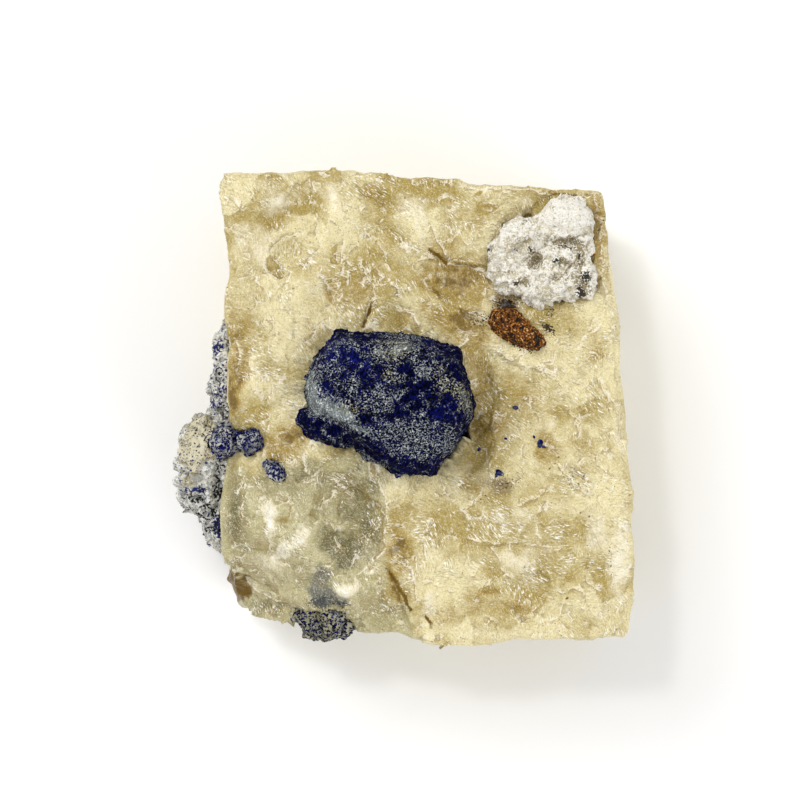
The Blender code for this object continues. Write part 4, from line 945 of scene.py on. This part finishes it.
# %% Stains, painted shade and painted highlights of the calcite block
STAINS_AND_PAINTED_LIGHT = {
    # ochre: iron stains, and around the right side of the big crystal painted shade at its foot
    "ochre": [
        (-18.8, 28.5, 3.8, 2.0, 10, 0.75), (-4.5, 32.0, 4.8, 2.0, -35, 0.85),
        (-10.7, 17.6, 1.7, 2.7, 20, 0.7), (-0.3, 13.5, 2.3, 2.0, 0, 0.7), (-4.4, 26.4, 2.0, 1.9, 0, 0.45),
        (8.2, 19.7, 6.4, 4.6, 0, 1.3), (4.5, 22.5, 1.5, 1.1, 0, 1.0), (11.8, 2.6, 3.0, 9.0, -2, 0.9),
        (11.4, 9.2, 2.6, 4.6, -10, 0.8), (27.1, -5.7, 4.4, 2.7, -40, 0.6), (11.4, -17.8, 1.5, 1.1, 0, 0.7),
        (13.5, -27.4, 2.6, 1.3, 0, 0.9), (18.0, -29.7, 4.0, 1.8, 0, 0.8), (25.3, -25.6, 3.0, 1.7, 0, 0.7),
        (-15.3, 34.2, 3.4, 1.2, 0, 0.4), (-24.6, 10.7, 3.4, 6.0, 0, 1.2), (-22.5, 16.4, 2.2, 4.0, 0, 0.5),
        (24.4, 11.1, 3.2, 2.2, 0, 0.35), (29.8, 24.6, 2.2, 9.0, 2, 1.0), (7.2, 28.7, 2.6, 2.2, 0, 0.4),
        (31.9, -22.6, 1.6, 5.0, 0, 0.4), (17.7, 2.1, 3.0, 3.0, 0, 0.25), (-13.8, 9.6, 2.6, 2.0, 30, 0.4),
        (23.7, 32.9, 7.0, 0.8, -2, 0.7), (-10.8, 23.9, 2.0, 3.2, 0, 0.35), (-0.3, -13.6, 2.5, 5.0, 0, 0.3),
        (5.7, 23.9, 2.0, 2.0, 0, 0.5), (15.4, -19.6, 3.0, 1.2, 0, 0.3), (2.7, 20.1, 3.0, 2.0, 0, 0.3),
        (-17.7, -16.9, 1.6, 1.4, 0, 0.8), (-24.3, 5.9, 2.4, 4.0, 0, 0.7), (-19.1, 11.1, 3.0, 2.0, 0, 0.4),
        (-7.1, 13.1, 4.0, 1.2, 0, 0.4), (14.7, 11.9, 4.0, 1.0, -30, 0.4), (-2.1, -28.6, 1.6, 3.0, 0, 0.5),
        (-0.8, -26.8, 1.1, 4.2, 27, 1.3), (9.9, 16.4, 9.0, 9.0, 0, 0.4), (19.5, -0.1, 9.0, 10.0, 0, 0.45),
        (-0.6, -23.4, 7.0, 7.0, 0, 0.55), (-7.5, 18.5, 6.4, 5.0, 0, 0.45), (-17.6, -6.1, 7.0, 4.6, 0, 0.45),
        (10.2, -12.1, 8.0, 4.5, 0, 0.35), (14.7, -29.4, 8.0, 4.0, 0, 0.4), (-25.1, 3.6, 4.0, 6.0, 0, 0.4),
        (7.2, 23.9, 5.0, 4.0, 0, 0.3), (7.9, 13.7, 5.0, 2.4, 0, 0.7), (26.4, 12.6, 4.0, 2.4, 0, 0.5),
        (12.4, -4.6, 3.4, 4.4, 0, 0.8), (21.6, -5.5, 3.0, 2.6, 0, 0.5), (0.3, -19.6, 2.6, 4.0, 0, 0.6),
        (11.1, -28.6, 3.0, 4.0, 0, 0.6), (11.4, 29.1, 5.0, 4.0, 0, 0.55), (28.8, 29.1, 2.6, 6.0, 0, 0.6),
        (-25.5, 16.4, 2.4, 4.0, 0, 0.5), (14.4, 9.6, 3.0, 2.0, 0, 0.4), (-25.5, 2.1, 1.8, 5.0, 0, 0.9),
        (-16.8, -3.4, 3.4, 3.0, 0, 0.8), (3.6, 18.6, 2.6, 4.0, 0, 0.7), (-7.8, 16.7, 5.0, 4.4, 0, 0.4),
        (14.1, -2.4, 3.0, 3.4, 0, 0.8), (10.8, -9.4, 2.8, 2.4, 0, 0.7), (10.5, -12.4, 3.0, 2.0, 0, 0.6),
        (-0.3, -22.0, 3.4, 4.4, 0, 0.5), (29.1, 30.5, 2.4, 4.0, 0, 0.6), (14.7, 5.1, 3.6, 4.0, 0, 0.4),
        (9.3, 12.2, 6.0, 3.4, 0, 0.9), (29.4, 9.2, 3.4, 4.5, 0, 0.7), (7.5, 25.4, 3.4, 3.0, 0, 0.6),
        (-18.6, -5.5, 5.0, 5.0, 0, 0.7), (-24.9, 1.1, 2.4, 3.4, 0, 0.6), (22.2, -6.9, 4.5, 3.5, 0, 0.6),
        (3.9, 14.6, 3.4, 2.2, 0, 0.8), (-1.5, -18.1, 2.4, 6.0, 0, 0.5), (6.9, -31.0, 5.5, 2.6, 0, 0.6),
        (-12.9, 11.9, 3.0, 2.4, 0, 0.5), (27.6, -9.4, 3.0, 3.0, 0, 0.5),
    ],
    "purple": [
        (14.7, -11.2, 4.2, 2.2, 0, 1.0), (25.5, -9.1, 2.8, 1.8, 0, 0.6), (15.9, 16.1, 4.0, 1.7, -20, 1.6),
        (-15.3, -3.1, 1.5, 3.0, 0, 0.3), (0.3, -26.8, 1.8, 2.2, 0, 0.4), (11.4, 14.0, 1.6, 1.6, 0, 0.7),
        (6.3, 22.7, 1.2, 0.8, 0, 0.9), (22.5, 14.6, 1.6, 1.4, 0, 0.6), (-8.6, -10.6, 4.0, 2.0, 0, 0.4),
    ],
    "grey": [
        (-12.0, -25.0, 2.4, 2.6, 0, 2.0), (-12.6, -28.0, 3.6, 2.6, -20, 2.2),
        (-9.6, -28.9, 2.8, 1.8, 0, 1.8), (-26.1, -16.6, 0.9, 5.0, 0, 0.6), (-8.6, -15.9, 2.6, 1.6, 30, 0.5),
        (-9.3, -18.9, 3.4, 1.4, -30, 0.6),
    ],
    "green": [
        (-6.3, -12.1, 4.4, 4.6, 10, 1.1), (-5.4, -17.2, 3.4, 4.0, 0, 1.1), (-10.5, -10.3, 3.4, 3.0, 0, 0.7),
        (-9.0, -20.7, 6.0, 3.2, -25, 1.7), (-8.6, -15.9, 3.4, 2.4, 0, 0.6),
        (-3.3, -10.6, 2.0, 4.0, 10, 0.5), (-1.5, -17.4, 2.2, 6.0, 0, 0.3), (-12.3, -26.4, 3.0, 3.4, 0, 0.6),
        (-25.2, -14.8, 2.2, 9.0, 0, 1.0), (-26.0, 1.4, 1.2, 10.0, 0, 0.5),
        (-22.8, -25.2, 3.0, 2.4, -30, 0.4), (-21.0, -30.4, 5.0, 2.2, 0, 0.7),
        (-8.1, -23.2, 4.0, 1.4, -15, 0.5), (-18.3, -11.8, 6.0, 4.0, 0, 0.6),
        (-14.6, -24.9, 3.0, 2.0, 0, 0.5), (-24.6, -18.1, 4.0, 9.0, 0, 0.45),
        (-17.6, -30.4, 6.0, 2.4, 0, 0.6), (-2.6, -28.6, 3.0, 5.0, 0, 0.4), (-14.4, -8.8, 3.4, 3.0, 0, 0.9),
        (-18.0, -5.5, 3.0, 3.0, 0, 0.4), (-3.6, -20.4, 2.6, 3.6, 0, 0.8), (-9.3, -23.2, 4.0, 2.4, 0, 0.8),
        (-11.6, -13.6, 3.0, 3.4, 0, 0.5),
    ],
    # pale: full of fine cracks; the spots on the bulge at the lower left are a painted highlight
    "pale": [
        (-10.4, 31.4, 2.5, 4.2, 15, 0.75), (2.8, 27.6, 1.8, 4.2, 10, 0.85), (-13.1, 17.9, 2.8, 2.4, 0, 0.6),
        (22.5, -2.1, 1.8, 1.5, 0, 0.75), (9.9, -9.1, 2.8, 1.3, 0, 0.5), (15.6, -22.6, 2.0, 2.4, 0, 0.8),
        (4.2, -29.1, 1.6, 3.2, -10, 0.9), (-8.4, -27.4, 2.8, 1.9, 20, 1.7),
        (-4.8, -24.1, 2.6, 0.6, 25, 1.0), (-17.4, -21.0, 3.4, 1.4, 35, 1.6),
        (-20.1, -16.6, 1.0, 4.4, 0, 2.0), (-15.0, -18.9, 1.6, 2.8, -20, 1.4),
        (17.7, -34.0, 14.0, 1.2, 0, 0.5), (-20.1, -23.5, 4.0, 2.4, -20, 0.9),
        (19.5, -26.5, 3.4, 2.0, 0, 0.6), (33.0, -3.1, 1.6, 8.0, 0, 0.8), (33.0, -19.6, 1.6, 14.0, 0, 0.5),
        (-15.3, 33.2, 8.0, 3.0, 0, 0.5), (-24.3, 25.4, 3.0, 5.0, 0, 0.5), (1.5, 30.8, 3.4, 3.4, 0, 0.5),
        (30.1, -30.4, 2.4, 4.0, 0, 0.5), (5.7, -22.6, 4.0, 5.0, 0, 0.35), (23.7, -14.4, 3.2, 2.0, 0, 0.4),
        (-21.6, 22.1, 2.0, 3.0, 0, 0.5), (12.3, 10.2, 1.2, 2.0, 0, 0.4), (16.9, 7.8, 4.0, 1.0, -20, 0.3),
        (31.5, -7.2, 0.8, 0.8, 0, 1.5), (28.2, 10.4, 2.4, 4.0, 0, 0.3), (14.7, -16.6, 1.6, 3.6, 30, 0.8),
        (7.2, 30.6, 2.0, 1.4, 0, 0.5), (-22.1, -4.6, 2.5, 4.0, 0, 0.3), (10.2, -34.6, 4.0, 1.5, 0, 0.4),
        (-19.1, 2.9, 3.4, 2.0, 0, 0.5), (-24.3, 26.9, 2.0, 2.4, 0, 0.4), (-7.1, -32.4, 3.0, 0.8, 0, 0.7),
        (11.7, 13.7, 2.0, 1.2, 0, 0.6), (3.9, 31.4, 1.4, 2.0, 0, 0.5), (-21.0, 25.4, 3.6, 4.4, 0, 0.7),
        (-18.9, 30.9, 4.0, 2.4, 0, 1.0), (29.4, -19.6, 3.0, 3.4, 0, 0.9), (20.4, -20.4, 8.0, 7.0, 0, 0.45),
        (-21.0, 33.6, 4.0, 2.0, 0, 0.4), (32.4, -24.1, 2.6, 8.0, 0, 0.9), (28.8, -16.0, 3.4, 3.4, 0, 0.7),
        (18.3, -23.5, 3.0, 3.0, 0, 0.7), (18.0, -16.0, 3.0, 2.4, 0, 0.6), (0.0, 30.5, 2.4, 3.0, 0, 0.5),
        (18.3, 30.9, 2.6, 2.0, 0, 0.6),
    ],
}
# blue lazurite grains under the surface, above the foot cluster
BLUE = [(-12.3, -29.2, 4.4, 1.6, 0, 1.8), (-8.7, -29.5, 1.8, 1.5, 0, 1.5), (-12.3, -27.4, 2.4, 2.0, 0, 0.5)]
# crowds of tiny dark specks
SPECKS = [
    (15.9, 15.9, 3.0, 1.5, -20, 2.0), (13.8, 14.3, 1.2, 2.0, 0, 1.5), (21.7, 12.2, 0.9, 2.6, 30, 1.8),
    (11.7, 13.4, 2.4, 2.4, 0, 0.8), (22.5, 14.6, 1.2, 1.8, 30, 1.0), (23.1, 32.6, 1.6, 0.6, 0, 1.0),
    (25.9, -10.6, 3.4, 3.4, 0, 0.5), (15.4, -11.2, 3.6, 1.8, 0, 0.7), (18.0, 8.9, 2.8, 0.8, -20, 1.5),
    (31.5, -22.6, 1.0, 6.0, 0, 0.5), (30.3, 27.6, 0.9, 3.0, 0, 0.7), (11.4, -13.6, 3.0, 2.0, 0, 0.5),
]
# the brown stain on the chipped lower left corner
AMBER_CORNER = (-25.8, -27.1, 3.8, 4.2, 0, 3.0)
print("Stains:", {name: len(spots) for name, spots in STAINS_AND_PAINTED_LIGHT.items()})

# %% Numbers kept on the calcite block
at = places(block)
# steep slopes of the face get more ochre: painted warm shade on the sides of ledges
steep = np.clip(2.2 * (1 - normals(block)[:, 2]) - 0.2, 0, 1) * up
for name, spots in STAINS_AND_PAINTED_LIGHT.items():
    amount = stain_at(at, spots, 1.0, 3.0) * (0.15 + 0.85 * up)
    keep(block, name, amount + 0.5 * steep * (name == "ochre"))
keep(block, "clear", clear)
keep(block, "specks", stain_at(at, SPECKS, 0.8, 5.0) * up)
keep(block, "blue", stain_at(at, BLUE, 0.8, 5.0) * up)
amber = soft_step((24.0 - at[:, 2]) / 2) * bell(at[:, 0], at[:, 1], AMBER_CORNER)
amber *= 0.7 + rolling(at, 1.2, 3.0)
keep(block, "brown", np.clip(up * (1.2 * crack + pit) + amber, 0, 1))
keep(block, "glitter", glitter - 0.7 * waxy)
# higher points are lighter and lower ones darker, most in the clear calcite: painted light and shade of the
# relief, added to each grain's own tone
keep(block, "tone", tone + (1.4 + 0.8 * clear) * (0.4 + 0.6 * up) * height)
keep(block, "waxy", np.maximum(waxy, 0.6 * (1 - up)))
print("Kept on the block:", block.verts.layers.float.keys())

# %% White lines of the calcite block, with painted highlights and painted shade
# a listed rim always shows on the face, a seam between grains only here and there
by_hand = np.abs(rim) < np.abs(seam)
here = soft_step(4.0 * rolling(at, 1.7, 6.0) - 0.2) * (1 - 0.6 * waxy)
shown = np.where(by_hand, up, (0.35 + 0.65 * up) * 0.9 * here)
keep(block, "line", np.where(by_hand, rim, seam))
keep(block, "lined", shown * soft_step(1.8 - np.minimum(np.abs(rim), np.abs(seam)) / 0.5))
print("Points on a white line:", int(np.sum(shown > 0.5)))

# %% [markdown]
# In the CAD part every grain sits in a socket that is 0.3 mm too large. In the real stone the
# minerals are grown together. So each point of the block that is near a grain is drawn onto
# that grain's surface and a little under it, and the calcite closes around the grain. Moving
# the block and not the grain keeps the grain's own outline.

# %% Close the calcite around the grains
CRYSTAL_REACH = 2.0  # mm
SMALL_REACH = 0.8
UNDER = 0.15  # how far the calcite goes under a grain's surface


def close_around(host, grain, reach):
    """Draws a bmesh's points that are near a grain onto the grain."""
    tree = BVHTree.FromBMesh(grain)
    grain_at = places(grain)
    low, high = grain_at.min(axis=0) - reach, grain_at.max(axis=0) + reach
    moved = 0
    for vert in host.verts:
        if any(c < a or c > b for c, a, b in zip(vert.co, low, high)):
            continue
        spot, normal, _, distance = tree.find_nearest(vert.co, reach)
        if spot is None or (vert.co - spot).dot(normal) < 0:
            continue
        # the nearer points go all the way, the farthest hardly move
        pull = min(1.0, 1.8 * (1 - distance / reach))
        vert.co += (spot - normal * UNDER - vert.co) * pull
        moved += 1
    return moved


for node, grain in pieces.items():
    reach = CRYSTAL_REACH if node == "lazurite_crystal" else SMALL_REACH
    print(node, "drew in", close_around(block, grain, reach), "points")
print("edge pair in the crust:", close_around(crust, pieces["lazurite_edge_pair"], SMALL_REACH))

# %% [markdown]
# A few blue flecks, half a millimetre to under two millimetres wide, lie beside the big crystal
# and in the right half of the face. Each is a small squashed ball, half sunk in the calcite.
# They are joined in one piece, because they are too small to matter one by one.

# %% Blue flecks
# x, y and radius in mm
FLECKS = [
    (17.1, 0.2, 0.4), (20.8, -5.2, 0.55), (14.7, -9.6, 0.52), (11.7, -6.1, 0.32), (19.9, -4.2, 0.22),
    (15.6, -4.5, 0.24), (14.2, -10.0, 0.3), (21.4, -5.7, 0.3), (-14.4, 4.7, 0.6), (-14.1, 2.9, 0.6),
    (-13.8, 5.9, 0.5), (-0.6, -9.7, 0.7), (0.9, -9.9, 0.7), (-1.8, -9.4, 0.5), (10.5, -0.9, 0.5),
]
ground = BVHTree.FromBMesh(block)
flecks = bmesh.new()
for number, (fleck_x, fleck_y, radius) in enumerate(FLECKS):
    spot = ground.ray_cast(Vector((fleck_x, fleck_y, 60)), Vector((0, 0, -1)))[0]
    turn = Matrix.Rotation(number * 1.3, 4, "Z") @ Matrix.Diagonal((1.25, 0.8, 0.55, 1))
    place = Matrix.Translation(spot) @ turn
    bmesh.ops.create_icosphere(flecks, subdivisions=3, radius=radius, matrix=place)
at = places(flecks)
push(flecks, 0.12 * rolling(at, 0.5) + 0.3 * cleaved(at, 0.4)[0])
for name, amount in (("film", 0.15), ("royal", 0.8), ("olive", 0.0), ("spots", 0.3)):
    keep(flecks, name, np.full(len(at), amount))

# %% [markdown]
# Now each mesh goes from millimetres back to metres and becomes a piece that stands for its CAD
# node. The flecks stand for none: they are only on the surface.

# %% Finish the pieces
# CAD node, piece, material slot of the record, material
PIECES = (
    ("calcite_matrix", "calcite_block", "honey_calcite", calcite),
    ("lazurite_crystal", "big_crystal", "lazurite", lazurite),
    ("lazurite_edge_pair", "edge_pair", "lazurite", lazurite),
    ("lazurite_small_crystal", "small_crystal", "lazurite", lazurite),
    ("lazurite_foot_cluster", "foot_cluster", "lazurite", lazurite),
    ("white_diopside_patch", "white_patch", "white_diopside", diopside),
    ("iron_oxide_grain", "rusty_grain", "iron_oxide", rust),
    ("wall_rock_crust", "side_crust", "wall_rock", skarn),
)
pieces["calcite_matrix"] = block
for node, name, slot, material in PIECES:
    finished(pieces[node], name, [node], material)
finished(flecks, "blue_flecks", [], lazurite)

# %% [markdown]
# ## Floor, light and camera
# The floor is plain and nearly white. The light is a large soft window from the upper left and
# a weaker one opposite, as in a small photo tent, in a white room. A small lamp adds the
# glints. The camera looks straight down on the face through a long lens, so that the walls
# hardly show.

# %% Floor
floor_shape = bmesh.new()
bmesh.ops.create_grid(floor_shape, x_segments=1, y_segments=1, size=2.0)
floor_mesh = bpy.data.meshes.new("floor")
floor_shape.to_mesh(floor_mesh)
floor_shape.free()
floor = bpy.data.objects.new("floor", floor_mesh)
bpy.context.scene.collection.objects.link(floor)
paper, _, shader, _ = new_material("White paper", roughness=0.9, specular=0.3)
shader.inputs["Base Color"].default_value = linear("#FCFCFC")
floor_mesh.materials.append(paper)
print("Floor is", round(floor.dimensions.x, 1), "m wide")

# %% Light
def window(name, place, size, power, target=(0, 0, 0.02)):
    """A soft rectangular light that looks at a point."""
    data = bpy.data.lights.new(name, "AREA")
    data.shape, data.size, data.size_y, data.energy = "RECTANGLE", size, size, power
    light = bpy.data.objects.new(name, data)
    light.location = place
    light.rotation_euler = (Vector(target) - Vector(place)).to_track_quat("-Z", "Y").to_euler()
    bpy.context.scene.collection.objects.link(light)


window("upper left window", (-0.42, 0.42, 0.62), 0.45, 2.9)
window("lower right fill", (0.5, -0.42, 0.42), 0.6, 2.2)
window("glint lamp", (-0.18, 0.22, 0.75), 0.08, 0.9)
world = bpy.data.worlds.new("Soft room")
world.use_nodes = True
world.node_tree.nodes["Background"].inputs["Color"].default_value = (1, 1, 1, 1)
world.node_tree.nodes["Background"].inputs["Strength"].default_value = 0.64
bpy.context.scene.world = world
bpy.context.scene.view_settings.view_transform = "Standard"
print("Lights:", sorted(light.name for light in bpy.data.lights))

# %% Camera
CAMERA_AT = (-0.304, 1.355, 534.0)  # mm: over the middle of the photo
camera_data = bpy.data.cameras.new("camera")
camera_data.lens, camera_data.sensor_width = 150, 36
camera = bpy.data.objects.new("camera", camera_data)
camera.location = [c * MM for c in CAMERA_AT]
bpy.context.scene.collection.objects.link(camera)
bpy.context.scene.camera = camera
print("Camera is", round(camera.location.z / MM), "mm above the floor")
